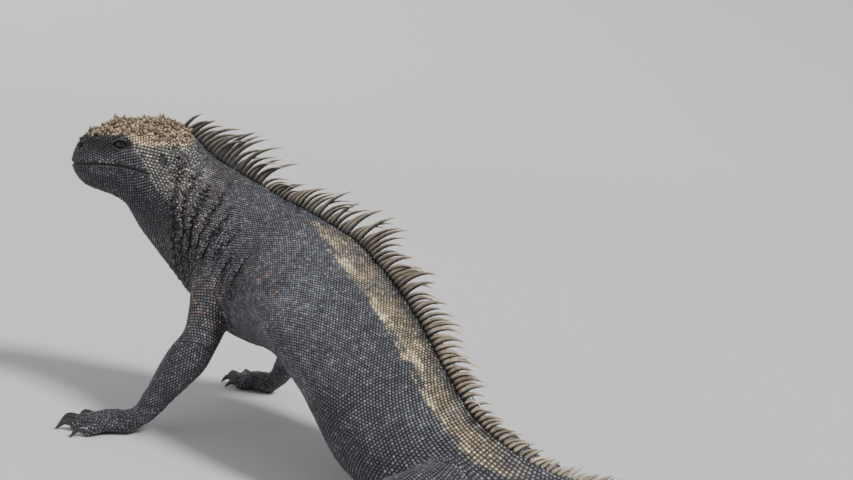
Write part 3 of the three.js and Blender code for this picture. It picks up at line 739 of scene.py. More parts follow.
def tint(points, s, a, part):
    """Colour of skin and scales alike: charcoal, with crust, rust and shed patches, painted shade in creases,
    under the crest, below the brow and on the belly, and painted light on the upper flank and lip.
    """
    chosen = bpy.context.scene.iguana_sizes
    charcoal = np.array(chosen.hide_colour[:])
    colour = np.repeat(charcoal[None, :], len(points), 0)
    wide = ripple(points, 90, 11)[:, None]
    fine = ripple(points, 14, 12)[:, None]
    colour = colour * (1 + 0.22 * wide + 0.16 * fine)

    def mix(amount, other):
        return colour + np.clip(amount, 0, 1)[:, None] * (np.array(other) - colour)

    u, _, v = head_spot(points)
    patch = ripple(points, 9, 13)
    if part == "body":
        h = np.sin(a)
        left = np.cos(a) > -0.15
        rust = bump(s - 293, 26) * bump(h - 0.35, 0.5) + 0.7 * bump(s - 312, 14) * bump(h + 0.1, 0.5)
        colour = mix(0.42 * rust * smooth_step(patch, -0.7, 0.9), RUST_COLOUR)
        flank = smooth_step(h, -0.35, 0.3) * (1 - smooth_step(h, 0.9, 0.98))
        colour = mix(0.17 * smooth_step(s, 278, 300) * flank, CHEEK_COLOUR)
        spots = smooth_step(ripple(points, 13, 14), 0.7, 1.2) * bump(s - 190, 70) * bump(h - 0.3, 0.6)
        colour = mix(0.3 * spots, RUST_COLOUR)
        turned = np.degrees(np.arcsin(np.clip(h, -1, 1)))
        rim = look_up(SHED_RIM, s)
        rim = np.where(left, rim, rim + 4) + 1.6 * ripple(points, 11, 21)
        ends = smooth_step(s, -25, 5) * (1 - smooth_step(s, 196, 212))
        ends = ends * np.where(left, 1, smooth_step(ripple(points, 48, 22), -0.15, 0.5))
        band = smooth_step(turned + 1.2 * patch, rim - 1, rim + 2) * (1 - smooth_step(turned, 83, 87)) * ends
        colour = mix(band * (0.33 + 0.22 * ripple(points, 26, 17)), chosen.shed_colour[:])
        peel = bump(turned + 0.8 * patch - rim - 1.2, 1.9) * ends
        peel = peel * smooth_step(ripple(points, 34, 18) + 0.35, 0.0, 0.7)
        colour = mix(0.95 * peel, PEEL_COLOUR)
        # Painted shadow at the crest's foot: the hide darkened along the middle of the back where the spines
        # rise
        root = bump(turned - 90, 4.5) * smooth_step(s, -80, 20)
        colour = colour * (1 - 0.55 * root)[:, None]
        speck = smooth_step(ripple(points, 24, 19), 0.45, 1.1) * smooth_step(-s, -30, 20)
        colour = mix(0.3 * speck * smooth_step(h, -0.2, 0.6), DUST_COLOUR)
        # Painted shade in the creases of the neck and shoulder, and painted light on the ridges between them
        crease_shading = creases(s, a, points)
        colour = colour * np.clip(1 + 0.24 * crease_shading, 0.3, 1.25)[:, None]
        # Painted shade: the lower flank and belly darkened towards a deeper charcoal
        belly_shade = smooth_step(-h, 0.45, 0.95)
        colour = mix(0.35 * belly_shade, BELLY_SHADE_COLOUR)
        # Painted light: the upper flank and back made lighter, as if lit from above
        colour = colour * (1 + 0.3 * smooth_step(h, 0.0, 0.8))[:, None]
    if part == "head":
        crust = smooth_step(v + 1.2 * patch - look_up(CRUST_EDGE, u), -1.2, 1.2)
        crust = crust * smooth_step(72 - u, 3, 12)
        colour = mix(0.85 * crust, chosen.crown_colour[:])
        ridge = bump(v + 15.5 - 0.05 * (u - 20), 2.4) * bump(u - 26, 11)
        cheek = on_cheek(u, v) * (0.75 + 0.25 * smooth_step(patch, -0.6, 0.6))
        colour = mix(np.maximum(0.75 * ridge, 0.8 * cheek), CHEEK_COLOUR)
        ear = from_ear(u, v)
        colour = mix(0.7 * bump(ear - 1.35, 0.3), CHEEK_COLOUR)
        colour = mix(0.8 * (1 - smooth_step(ear, 0.9, 1.2)), EAR_COLOUR)
        colour = mix(0.7 * smooth_step(-v, 36, 50), THROAT_COLOUR)
        # A pale streak along the upper lip: partly the lip scales' own paler colour, partly painted glints
        lip = bump(v - look_up(MOUTH, u) - 1.6, 1.4) * bump(u - 46, 12)
        colour = mix(0.5 * lip * smooth_step(ripple(points, 7, 20), -0.4, 0.6), CHEEK_COLOUR)
        shade = bump(v + 12 - 0.06 * (u - 45), 6.5) * smooth_step(u, 28, 33) * (1 - smooth_step(u, 64, 70))
        colour = colour * (1 - 0.72 * shade * (1 - crust))[:, None]
    if part == "leg":
        rust = bump(points[:, 2] - 92, 24) * smooth_step(patch, -0.3, 0.9)
        colour = mix(0.4 * rust, RUST_COLOUR)
        colour = mix(0.3 * smooth_step(ripple(points, 26, 16), 0.2, 1.1), DUST_COLOUR)
    return np.clip(colour, 0.004, 0.95)


def from_legs(points):
    """Distance of points from the middle lines of the legs, clear of the trunk."""
    near = np.full(len(points), 1e9)
    for leg in leg_joints():
        top, bend, end = leg.joints
        for start, stop in ((top, bend), (bend, end)):
            way = unit(stop - start)
            near = np.minimum(near, from_line(points, start + way * 14, stop))
        ahead, _ = foot_ways(leg)
        near = np.minimum(near, from_line(points, end, end + ahead * (leg.sole + 30)))
    return near


def markings(points):
    """Colour of the hide at points: trunk, head and legs run into each other."""
    s, a = nearest_on_body(points)
    u, _, v = head_spot(points)
    colours = tint(points, s, a, "body")
    front = np.where(v > -18, -9, 1)
    on_head = smooth_step(u, front, front + 7) * (v > -70)
    colours += on_head[:, None] * (tint(points, s, a, "head") - colours)
    on_leg = (1 - smooth_step(from_legs(points), 14, 24)) * (u < 5)
    colours += on_leg[:, None] * (tint(points, s, a, "leg") - colours)
    return colours


def paint(mesh, colours):
    """Keeps a colour at each point of a mesh."""
    layer = mesh.color_attributes.new("tint", "FLOAT_COLOR", "POINT")
    full = np.ones((len(colours), 4), dtype=np.float32)
    full[:, :3] = colours
    layer.data.foreach_set("color", full.ravel())


def mottled_material(name, roughness, specular, size, detail, spread, shades):
    """The painted tint, mottled on Object coordinates between two shades."""
    material = bpy.data.materials.new(name)
    material.use_nodes = True
    nodes = material.node_tree.nodes
    links = material.node_tree.links
    shader = nodes["Principled BSDF"]
    shader.inputs["Roughness"].default_value = roughness
    shader.inputs["Specular IOR Level"].default_value = specular
    coordinate = nodes.new("ShaderNodeTexCoord")
    painted = nodes.new("ShaderNodeAttribute")
    painted.attribute_name = "tint"
    mottle = nodes.new("ShaderNodeTexNoise")
    mottle.inputs["Scale"].default_value = size
    mottle.inputs["Detail"].default_value = detail
    links.new(coordinate.outputs["Object"], mottle.inputs["Vector"])
    ramp = nodes.new("ShaderNodeMapRange")
    for socket, value in zip(("From Min", "From Max", "To Min", "To Max"), spread + shades):
        ramp.inputs[socket].default_value = value
    links.new(mottle.outputs["Fac"], ramp.inputs["Value"])
    blend = nodes.new("ShaderNodeVectorMath")
    blend.operation = "SCALE"
    links.new(painted.outputs["Color"], blend.inputs[0])
    links.new(ramp.outputs["Result"], blend.inputs["Scale"])
    links.new(blend.outputs["Vector"], shader.inputs["Base Color"])
    return material, shader, coordinate


def hide_material(name, roughness, grain_size, grain_depth, specular=0.5):
    """Dry scaly hide: the mottled tint, and fine grain as bump."""
    made = mottled_material(name, roughness, specular, 220, 4, (0.3, 0.7), (0.72, 1.3))
    material, shader, coordinate = made
    nodes = material.node_tree.nodes
    links = material.node_tree.links
    grain = nodes.new("ShaderNodeTexVoronoi")
    grain.inputs["Scale"].default_value = grain_size
    links.new(coordinate.outputs["Object"], grain.inputs["Vector"])
    relief = nodes.new("ShaderNodeBump")
    relief.inputs["Strength"].default_value = 0.6
    relief.inputs["Distance"].default_value = grain_depth
    relief.invert = True
    links.new(grain.outputs["Distance"], relief.inputs["Height"])
    links.new(relief.outputs["Normal"], shader.inputs["Normal"])
    return material


def smooth(*made):
    """Smooth shading for each object."""
    for each in made:
        only(each)
        bpy.ops.object.shade_smooth()


def face_out(made):
    """Turns the faces of a closed object outward."""
    only(made)
    bpy.ops.object.mode_set(mode="EDIT")
    bpy.ops.mesh.select_all(action="SELECT")
    bpy.ops.mesh.normals_make_consistent(inside=False)
    bpy.ops.object.mode_set(mode="OBJECT")


def finish_piece(made, material, slot, *nodes):
    """Gives a piece its material, lets it ride on the body and hides the imported parts it stands for; the
    slot it is given is not used.
    """
    made.data.materials.clear()
    made.data.materials.append(material)
    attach(made, "root")
    if nodes:
        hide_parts(*nodes)
    return made


FLESH_NODES = [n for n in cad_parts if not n.startswith("eye")]


def flesh_lofts():
    """Closed forms of the trunk, head, legs and toes, overlapping where they join."""
    made = []
    a = turns(80) + math.pi / 2
    s = np.arange(-TAIL, NAPE + 0.1, 2.5)
    rings = list(body_point(s[:, None], a[None, :]))
    front = rings[-1]
    middle = front.mean(0)
    for forward, share in ((5, 0.86), (8, 0.6)):
        rings.append((front - middle) * share + middle + NAPE_AHEAD * forward)
    made.append(loft("trunk_form", rings))
    along = np.arange(-16, 70.6, 1.25)
    rings = list(head_point(along[:, None], a[None, :]))
    front = rings[-1]
    middle = front.mean(0)
    for forward, share in ((1.0, 0.9), (1.7, 0.7), (2.1, 0.4)):
        rings.append((front - middle) * share + middle + HEAD_AHEAD * forward)
    made.append(loft("head_form", rings))
    for leg in leg_joints():
        name, sole = leg.name, leg.sole
        top, bend, end = leg.joints
        made.append(loft(name + "_upper", limb_rings(top, bend, leg.radii[0])))
        made.append(loft(name + "_lower", limb_rings(bend, end, leg.radii[1])))
        ahead, aside = foot_ways(leg)
        floor = np.array([end[0], end[1], 0])

        def at(forward, out, z):
            return floor + ahead * forward + aside * out + np.array([0, 0, z])

        line = [end, at(sole * 0.45, 0, 7), at(sole, 0, 5.5)]
        made.append(loft(name + "_sole", tube_rings(line, (8, 10, 8), 20, 14, 0.72)))
        line = [at(sole * 0.78, -9, 5), at(sole * 0.85, 0, 5.5), at(sole * 0.78, 9, 5)]
        made.append(loft(name + "_ball", tube_rings(line, (3.5, 5.8, 5.8, 3.5), 18, 12)))
        for k, toe in enumerate(leg.toes):
            knuckles, _ = toe_line(leg, toe)
            places = [p for p, _ in knuckles]
            sizes = [r for _, r in knuckles]
            rings = list(tube_rings(places, sizes, 16, 14))
            way = unit(places[-1] - places[-2])
            rings.append((rings[-1] - rings[-1].mean(0)) * 0.7 + rings[-1].mean(0) + way * 1.4)
            rings.append((rings[-2] - rings[-2].mean(0)) * 0.35 + rings[-2].mean(0) + way * 2)
            made.append(loft(f"{name}_toe_{k}", rings))
    return made


def soften_joins(points, edges):
    """Draws the skin over the roots of the legs, their joints, the jaw and the back of the head."""
    weight = np.zeros(len(points))

    def near(place, share, inner, outer):
        far = np.linalg.norm(points - place, axis=1)
        return np.maximum(weight, share * (1 - smooth_step(far, inner, outer)))

    for leg in leg_joints():
        top, bend, end = leg.joints
        reach = 30 if leg.name.startswith("fore") else 32
        weight = near(top + unit(bend - top) * 12, 0.6, reach * 0.6, reach)
        for place, size in ((bend, 17), (end, 12)):
            weight = near(place, 0.25, size * 0.7, size)
    weight = near(head_place(20, 0, -62), 0.6, 14, 30)
    weight = near(head_place(-3, 0, -25), 0.5, 26, 36)
    return relax(points, edges, weight, 34)


def refine_head(mesh):
    """Divides the faces of the head once."""
    u, _, v = head_spot(read_points(mesh))
    chosen = (u > 6) & (v > -56)
    bpy.ops.object.mode_set(mode="EDIT")
    bpy.ops.mesh.select_all(action="DESELECT")
    bpy.ops.object.mode_set(mode="OBJECT")
    mesh.edges.foreach_set("select", chosen[read_edges(mesh)].all(1))
    mesh.vertices.foreach_set("select", chosen)
    bpy.ops.object.mode_set(mode="EDIT")
    bpy.ops.mesh.subdivide(number_cuts=1)
    bpy.ops.object.mode_set(mode="OBJECT")


def shape_skin(mesh):
    """Folds on the neck, the face's forms, and soft unevenness of the rest."""
    points = read_points(mesh)
    u, _, v = head_spot(points)
    fine = (u > 5) & (v > -62)
    points = relax(points, read_edges(mesh), np.where(fine, 0.5, 0.0), 3)
    write_points(mesh, points)
    normals = read_normals(mesh)
    s, a = nearest_on_body(points)
    trunk = (1 - smooth_step(u, 4, 14)) * (s > 150)
    free = smooth_step(from_legs(points), 15, 22)
    out = creases(s, a, points) * trunk * free
    out += head_forms(points)
    out += 0.45 * ripple(points, 34, 7) * (u < 8) * smooth_step(points[:, 2], 6, 20)
    points = open_eyes(points + normals * out[:, None])
    points[:, 2] = np.maximum(points[:, 2], 0)
    write_points(mesh, points)
    paint(mesh, 0.012 + 0.2 * markings(points))


class IGUANA_OT_skin(bpy.types.Operator):
    """One closed skin over trunk, head, legs and toes, with its folds, lids, lips, nostrils and ears"""
    bl_idname = "iguana.skin"
    bl_label = "Skin"

    def execute(self, context):
        only(*flesh_lofts())
        bpy.ops.object.join()
        skin = context.object
        skin.name = "skin"
        mesh = skin.data
        mesh.name = "skin"
        mesh.remesh_voxel_size = context.scene.iguana_sizes.skin_cell
        mesh.remesh_voxel_adaptivity = 0
        bpy.ops.object.voxel_remesh()
        mesh = skin.data
        if len(mesh.vertices) < FEWEST_POINTS:
            raise RuntimeError("The skin came out with too few points")
        points = read_points(mesh)
        edges = read_edges(mesh)
        points = relax(points, edges, np.full(len(points), 0.5), 7)
        write_points(mesh, soften_joins(points, edges))
        only(skin)
        refine_head(mesh)
        shape_skin(mesh)
        smooth(skin)
        material = hide_material("charcoal_hide", 0.62, 900, 0.0004, 0.35)
        finish_piece(skin, material, "skin", *FLESH_NODES)
        return {"FINISHED"}


def skin_tree():
    """The skin as a surface to set scales on, in metres."""
    skin = bpy.data.objects.get("skin")
    if skin is None:
        raise RuntimeError("The skin is made before what grows on it")
    mesh = skin.data
    points = np.empty(len(mesh.vertices) * 3)
    mesh.vertices.foreach_get("co", points)
    polygons = [tuple(p.vertices) for p in mesh.polygons]
    return BVHTree.FromPolygons(points.reshape(-1, 3).tolist(), polygons)


def settle(tree, points, reach):
    """Moves points onto the skin; gives places, normals and which of them lie within reach of it."""
    places = np.array(points, float)
    normals = np.zeros_like(places)
    good = np.zeros(len(places), bool)
    for i, spot in enumerate(lift(points).tolist()):
        found = tree.find_nearest(spot, reach * MM)
        if found[0] is not None:
            places[i] = np.array(found[0]) / MM - SHIFT
            normals[i] = found[1]
            good[i] = True
    return places, normals, good


def read_form():
    """Takes the active primitive's points and triangles, then removes it."""
    made = bpy.context.object
    bpy.ops.object.mode_set(mode="EDIT")
    bpy.ops.mesh.select_all(action="SELECT")
    bpy.ops.mesh.quads_convert_to_tris()
    bpy.ops.object.mode_set(mode="OBJECT")
    points = np.array([v.co[:] for v in made.data.vertices])
    faces = np.array([p.vertices[:] for p in made.data.polygons])
    bpy.data.objects.remove(made, do_unlink=True)
    return points, faces


def cut_cone(corners, tip, cuts):
    """A cone of height 1 with rings along it at the cuts."""
    bpy.ops.object.select_all(action="DESELECT")
    bpy.ops.mesh.primitive_cone_add(vertices=corners, radius1=1, radius2=tip, depth=1, location=(0, 0, 0.5))
    bpy.ops.object.transform_apply(location=True, rotation=False, scale=False)
    bpy.ops.object.mode_set(mode="EDIT")
    for cut in cuts:
        bpy.ops.mesh.select_all(action="SELECT")
        bpy.ops.mesh.bisect(plane_co=(0, 0, cut), plane_no=(0, 0, 1))
    bpy.ops.object.mode_set(mode="OBJECT")
    return read_form()


def grow(name, form, places, outward, backward, sizes, colours, roots, material, slot="skin", shade_and_glint=HIDE_SHADE_AND_GLINT):
    """Sets a copy of a form at each place, joined into pieces, with a colour and a patch of the map for each.

    A copy's colour is darkened at its root as painted shade and lightened towards its tip as a painted
    highlight, by the two given shares.
    """
    shape, faces = form
    # Painted shade at each copy's root, rising to a painted highlight at its tip
    rise = np.clip(shape[:, 2], 0, 1) ** 1.9
    painted_shading = shade_and_glint[0] + (shade_and_glint[1] - shade_and_glint[0]) * rise
    normal = unit(outward)
    back = unit(backward - (backward * normal).sum(1)[:, None] * normal)
    side = np.cross(normal, back)
    per = max(1, PIECE_LIMIT // len(faces))
    made = []
    flat = shape[:, :2] / max(1e-6, np.abs(shape[:, :2]).max())
    for start in range(0, len(places), per):
        pick = slice(start, start + per)
        n = len(places[pick])
        local = shape[None, :, :] * sizes[pick][:, None, :]
        points = places[pick][:, None, :] + (
            local[:, :, 0:1] * back[pick][:, None, :]
            + local[:, :, 1:2] * side[pick][:, None, :]
            + local[:, :, 2:3] * normal[pick][:, None, :]
        )
        points = points.reshape(-1, 3)
        points[:, 2] = np.maximum(points[:, 2], 0)
        tris = (faces[None] + (np.arange(n) * len(shape))[:, None, None]).reshape(-1, 3)
        uv = roots[pick][:, None, :] + flat[None] * PATCH
        shaded = np.clip(colours[pick][:, None, :] * painted_shading[None, :, None], 0.002, 0.95)
        made.append(coat_piece(f"{name}_{start // per}", points, tris, shaded.reshape(-1, 3),
                               uv.reshape(-1, 2), material, slot))
    return made


def coat_piece(name, points, tris, colours, uv, material, slot):
    """One joined piece of the coat, with its tints and its map."""
    mesh = bpy.data.meshes.new(name)
    mesh.vertices.add(len(points))
    mesh.vertices.foreach_set("co", lift(points).ravel())
    mesh.loops.add(len(tris) * 3)
    mesh.loops.foreach_set("vertex_index", tris.ravel())
    mesh.polygons.add(len(tris))
    mesh.polygons.foreach_set("loop_start", np.arange(len(tris)) * 3)
    mesh.update(calc_edges=True)
    mesh.validate()
    layer = mesh.uv_layers.new(name="OFBake")
    layer.data.foreach_set("uv", uv[tris.ravel()].ravel())
    paint(mesh, colours)
    made = bpy.data.objects.new(name, mesh)
    bpy.context.collection.objects.link(made)
    return finish_piece(made, material, slot)


def even_round(ring, pitch, offset):
    """Shares along a closed ring that lie a pitch apart."""
    step = np.linalg.norm(np.roll(ring, -1, 0) - ring, axis=1)
    total = step.sum()
    count = max(4, int(total / pitch))
    marks = (np.arange(count) + offset) / count * total
    reach = np.concatenate([[0], np.cumsum(step)])
    return np.interp(marks, reach, np.arange(len(ring) + 1)) / len(ring)


def hide_shade(count, seed):
    """How light each scale is beside its neighbours: most dark, some catching the light."""
    draw = np.random.default_rng(seed)
    return 0.55 + 0.5 * draw.random(count) + 1.1 * draw.random(count) ** 5


def body_root(s, a):
    """Where a scale of the trunk or tail lies on the map."""
    along = 0.01 + 0.98 * (s + TAIL) / (TAIL + NAPE + 10)
    return np.stack([along, 0.01 + 0.48 * (a % (2 * math.pi)) / 6.2832], -1)


def head_root(points):
    """Where a scale of the head lies on the map."""
    u, w, v = head_spot(points)
    turned = (np.arctan2(v + 25, w) % (2 * math.pi)) / (2 * math.pi)
    return np.stack([0.02 + 0.3 * np.clip((u + 20) / 95, 0, 1), 0.53 + 0.2 * turned], -1)


def leg_root(which, along, a):
    """Where a scale of a leg lies on the map."""
    return np.stack([0.36 + 0.155 * which + 0.14 * along, 0.53 + 0.2 * (a % (2 * math.pi)) / 6.2832], -1)


def row_scales(first, last):
    """Rows of scales round the trunk or tail: their places, distances and angles."""
    places = []
    spans = []
    angles = []
    s = float(first)
    row = 0
    a = turns(RING_SIDES)
    while s < last:
        pitch = float(look_up(SCALE_PITCH, s))
        ring = body_point(np.full(RING_SIDES, s), a)
        turn = even_round(ring, pitch, 0.5 * (row % 2) + 0.25) * 2 * math.pi
        around = np.full(len(turn), s)
        places.append(body_point(around, turn))
        spans.append(around)
        angles.append(turn)
        s += pitch * ROW_SHARE
        row += 1
    return np.concatenate(places), np.concatenate(spans), np.concatenate(angles)


def clear_of(points, others, gap):
    """Which points keep at least a gap from all the others."""
    tree = kdtree.KDTree(len(others))
    for i, spot in enumerate(others.tolist()):
        tree.insert(spot, i)
    tree.balance()
    far = np.array([tree.find(p)[2] for p in points.tolist()])
    return far > gap


def thin(points, gap):
    """Which points to keep so that no two lie nearer than a gap, in the order given."""
    cells = {}
    keep = np.zeros(len(points), bool)
    size = float(np.max(gap))
    for i, (spot, apart) in enumerate(zip(points.tolist(), np.broadcast_to(gap, len(points)).tolist())):
        x, y, z = (int(math.floor(c / size)) for c in spot)
        close = False
        for dx in (-1, 0, 1):
            for dy in (-1, 0, 1):
                for dz in (-1, 0, 1):
                    for other in cells.get((x + dx, y + dy, z + dz), ()):
                        if math.dist(spot, other) < apart:
                            close = True
        if not close:
            cells.setdefault((x, y, z), []).append(spot)
            keep[i] = True
    return keep


def eye_clear(points, margin):
    """Which points stay off the eyeballs and the open lids."""
    keep = np.ones(len(points), bool)
    for side in (1, -1):
        _, along, up, out = from_eye(points, side)
        wide, high = LID_OPEN
        inside = (along / (wide + margin)) ** 2 + (up / (high + margin)) ** 2 < 1
        keep &= ~(inside & (out > 0))
    return keep


def mouth_clear(points, margin):
    """Which points stay off the line of the mouth, the nostrils and the pits of the ears."""
    u, w, v = head_spot(points)
    off = np.abs(v - look_up(MOUTH, u))
    keep = ~((u > 22) & (off < margin))
    for side in (1, -1):
        keep &= np.linalg.norm(points - head_side(*NOSTRIL, side), axis=1) > 1.9
    ear = from_ear(u, v)
    keep &= (ear > 0.78) | (np.abs(w) < 15)
    return keep


class Coat:
    """Scales gathered before they are set: place, outward, backward, size, colour and root on the map."""

    def __init__(self):
        self.rows = []

    def add(self, places, outward, backward, sizes, roots):
        self.rows.append((places, outward, np.broadcast_to(backward, places.shape), sizes, roots))

    def places(self):
        return np.concatenate([row[0] for row in self.rows])

    def joined(self):
        return [np.concatenate([row[k] for row in self.rows]) for k in range(5)]


def trunk_scales(coat, tree):
    """Rows of scales round the trunk, neck and tail."""
    places, s, a = row_scales(-524, 329)
    across = np.cos(a) * column(STATIONS, 4, s)
    keep = (np.abs(across) > CREST_BARE) | (np.sin(a) < 0)
    places, s, a = keep_only(keep, places, s, a)
    places, normals, good = settle(tree, places, 3.4)
    u, _, v = head_spot(places)
    good &= (u < 3) | (v < -66)
    good &= from_legs(places) > 13
    good &= places[:, 2] > 0.25
    places, normals, s, a = keep_only(good, places, normals, s, a)
    ahead = back_frame(s)[1]
    pitch = look_up(SCALE_PITCH, s)
    draw = np.random.default_rng(21)
    size = 0.9 + 0.22 * draw.random(len(s))
    tailed = 1 - smooth_step(s, -60, 20)
    neck = smooth_step(s, 225, 265)
    wide = pitch * (0.54 + 0.01 * tailed) * size
    long = pitch * (0.56 + 0.09 * tailed) * size
    tall = pitch * (0.36 + 0.02 * tailed + 0.03 * neck) * size * (0.8 + 0.4 * draw.random(len(s)))
    coat.add(places, normals, -ahead, np.stack([long, wide, tall], -1), body_root(s, a))


def leg_scales(coat, tree):
    """Rows of scales round the legs, smaller towards the feet, and over soles and toes."""
    for which, leg in enumerate(leg_joints()):
        for part, (start, end) in enumerate(zip(leg.joints, leg.joints[1:])):
            way = unit(end - start)
            length = np.linalg.norm(end - start)
            sizes = through(leg.radii[part], 40)
            d = 0.0
            row = 0
            while d < length + 4:
                share = min(1, d / length)
                pitch = 2.25 - 0.35 * (part + share) / 2
                radius = float(np.interp(share, np.linspace(0, 1, 40), sizes))
                ring = ring_about(start + way * d, way, radius, 90)
                turn = even_round(ring, pitch, 0.5 * (row % 2))
                spots = np.stack([np.interp(turn * 90, np.arange(91), np.append(ring[:, k], ring[0, k]))
                                  for k in range(3)], -1)
                spots, normals, good = settle(tree, spots, 6)
                good &= spots[:, 2] > 0.3
                good &= (normals * (spots - (start + way * d))).sum(1) > 0
                spots, normals, turn = keep_only(good, spots, normals, turn)
                if len(spots):
                    draw = np.random.default_rng(1000 * which + 100 * part + row)
                    size = 0.9 + 0.2 * draw.random(len(spots))
                    half = pitch * 0.5 * size
                    tall = pitch * 0.36 * size
                    along = np.full(len(spots), (part + share) / 2)
                    coat.add(spots, normals, way, np.stack([half * 1.08, half, tall], -1),
                             leg_root(which, along, turn * 2 * math.pi))
                d += pitch * ROW_SHARE
                row += 1


def head_scales(coat, tree):
    """Rows of small scales over the sides and throat of the head."""
    a = turns(HEAD_SIDES)
    d = 2.0
    row = 0
    while d < 70.4:
        pitch = float(look_up(HEAD_PITCH, d))
        ring = head_point(np.full(HEAD_SIDES, d), a)
        turn = even_round(ring, pitch, 0.5 * (row % 2)) * 2 * math.pi
        spots = head_point(np.full(len(turn), d), turn)
        spots, normals, good = settle(tree, spots, 4.5)
        u, _, v = head_spot(spots)
        good &= (u > 0.5) & crown_free(u, v, normals) & (on_cheek(u, v) < 0.5)
        spots, normals = keep_only(good, spots, normals)
        draw = np.random.default_rng(5000 + row)
        size = 0.88 + 0.24 * draw.random(len(spots))
        half = pitch * 0.56 * size
        tall = pitch * 0.42 * size * (0.8 + 0.5 * draw.random(len(spots)))
        coat.add(spots, normals, -HEAD_AHEAD, np.stack([half, half, tall], -1), head_root(spots))
        d += pitch * ROW_SHARE
        row += 1


def crown_free(u, v, normals):
    """Which spots lie below the crusted crown."""
    up = normals @ HEAD_UP
    edge = look_up(CROWN_EDGE, u)
    return (v < edge) | (up < 0.25)


def gap_scales(coat):
    """Scales wherever the rows left the skin bare: in folds, between legs and trunk, and round the jaw."""
    mesh = bpy.data.objects["skin"].data
    centres = np.empty(len(mesh.polygons) * 3)
    mesh.polygons.foreach_get("center", centres)
    facing = np.empty(len(mesh.polygons) * 3)
    mesh.polygons.foreach_get("normal", facing)
    points = np.concatenate([read_points(mesh), centres.reshape(-1, 3) / MM - SHIFT])
    normals = np.concatenate([read_normals(mesh), facing.reshape(-1, 3)])
    u, _, v = head_spot(points)
    ok = points[:, 2] > 0.4
    ok &= (u < 0.5) | (crown_free(u, v, normals) & (on_cheek(u, v) < 0.5))
    s, a = nearest_on_body(points)
    dorsal = (np.abs(np.cos(a) * column(STATIONS, 4, s)) < CREST_BARE) & (np.sin(a) > 0)
    ok &= ~(dorsal & (u < 3) & (from_legs(points) > 16))
    order = np.random.default_rng(77).permutation(np.flatnonzero(ok))
    points, normals, s, a, u = keep_only(order, points, normals, s, a, u)
    on_head = u > 2
    legs = from_legs(points)
    pitch = np.where(on_head, 1.8, np.where(legs < 18, 1.95, look_up(SCALE_PITCH, s)))
    far = clear_of(points, coat.places(), pitch * 0.82)
    points, normals, s, a, pitch, on_head = keep_only(far, points, normals, s, a, pitch, on_head)
    keep = thin(points, pitch * 0.84)
    points, normals, s, a, pitch, on_head = keep_only(keep, points, normals, s, a, pitch, on_head)
    back = -back_frame(s)[1]
    back[on_head] = -HEAD_AHEAD
    half = pitch * 0.53
    roots = body_root(s, a)
    roots[on_head] = head_root(points[on_head])
    coat.add(points, normals, back, np.stack([half, half, pitch * 0.36], -1), roots)


class IGUANA_OT_scales(bpy.types.Operator):
    """Small cone-shaped scales in rows over trunk, tail, legs and the sides of the head"""
    bl_idname = "iguana.scales"
    bl_label = "Scales"

    def execute(self, context):
        sizes = context.scene.iguana_sizes
        tree = skin_tree()
        coat = Coat()
        head_scales(coat, tree)
        trunk_scales(coat, tree)
        leg_coat = Coat()
        leg_scales(leg_coat, tree)
        places, normals, back, grown, roots = leg_coat.joined()
        keep = thin(places, 1.5)
        keep &= clear_of(places, coat.places(), 1.6)
        coat.add(*keep_only(keep, places, normals, back, grown, roots))
        gap_scales(coat)
        places, normals, back, grown, roots = coat.joined()
        keep = eye_clear(places, 0.9) & mouth_clear(places, 2.4)
        places, normals, back, grown, roots = keep_only(keep, places, normals, back, grown, roots)
        grown[:, 2] *= sizes.scale_relief
        colours = markings(places) * hide_shade(len(places), 31)[:, None]
        sunk = places - unit(normals) * 0.18
        form = cone_form()
        material = hide_material("scale_horn", 0.5, 2600, 0.00012, 0.5)
        colours = np.clip(colours, 0.003, 0.95)
        made = grow("scales", form, sunk, normals, back, grown, colours, roots, material)
        smooth(*made)
        return {"FINISHED"}


def cone_form():
    """A small scale: a six-sided cone with a rounded middle and its tip drawn back."""
    points, faces = cut_cone(6, 0, (0.5,))
    low = points[:, 2] < 0.01
    middle = (points[:, 2] > 0.4) & (points[:, 2] < 0.6)
    points[middle, :2] *= 1.42
    points[middle, 2] = 0.62
    points[:, 0] += np.where(low, 0, np.where(middle, 0.1, 0.34))
    return points, faces


def nub_form():
    """A tubercle: a blunt cone with a shoulder and a narrow tip."""
    points, faces = cut_cone(8, 0.14, (0.3, 0.62, 0.88))
    z = points[:, 2]
    radius = np.hypot(points[:, 0], points[:, 1])
    want = np.interp(z, [0, 0.3, 0.62, 0.88, 1], [1, 0.9, 0.62, 0.3, 0.1])
    grow_by = want / np.maximum(radius, 1e-6)
    points[:, :2] *= np.where(radius > 1e-6, grow_by, 1)[:, None]
    points[:, 0] += 0.25 * z ** 2
    return points, faces


def set_nubs(name, form, places, outward, backward, sizes, colours, sink, horn, shade_and_glint=HIDE_SHADE_AND_GLINT):
    """Sets growths on the head, each sunk a little into the skin."""
    backward = np.broadcast_to(backward, places.shape)
    sunk = places - unit(outward) * sink
    roots = head_root(places)
    return grow(name, form, sunk, outward, backward, sizes, colours, roots, horn, "head_crust", shade_and_glint)


def set_beside(tree, rows, side, reach):
    """Places and normals of the skin at rows of distance and height on the head, and the rows that met it."""
    table = np.array(rows)
    places, outward, good = settle(tree, head_side(table[:, 0], table[:, 1], side), reach)
    return keep_only(good, places, outward, table)


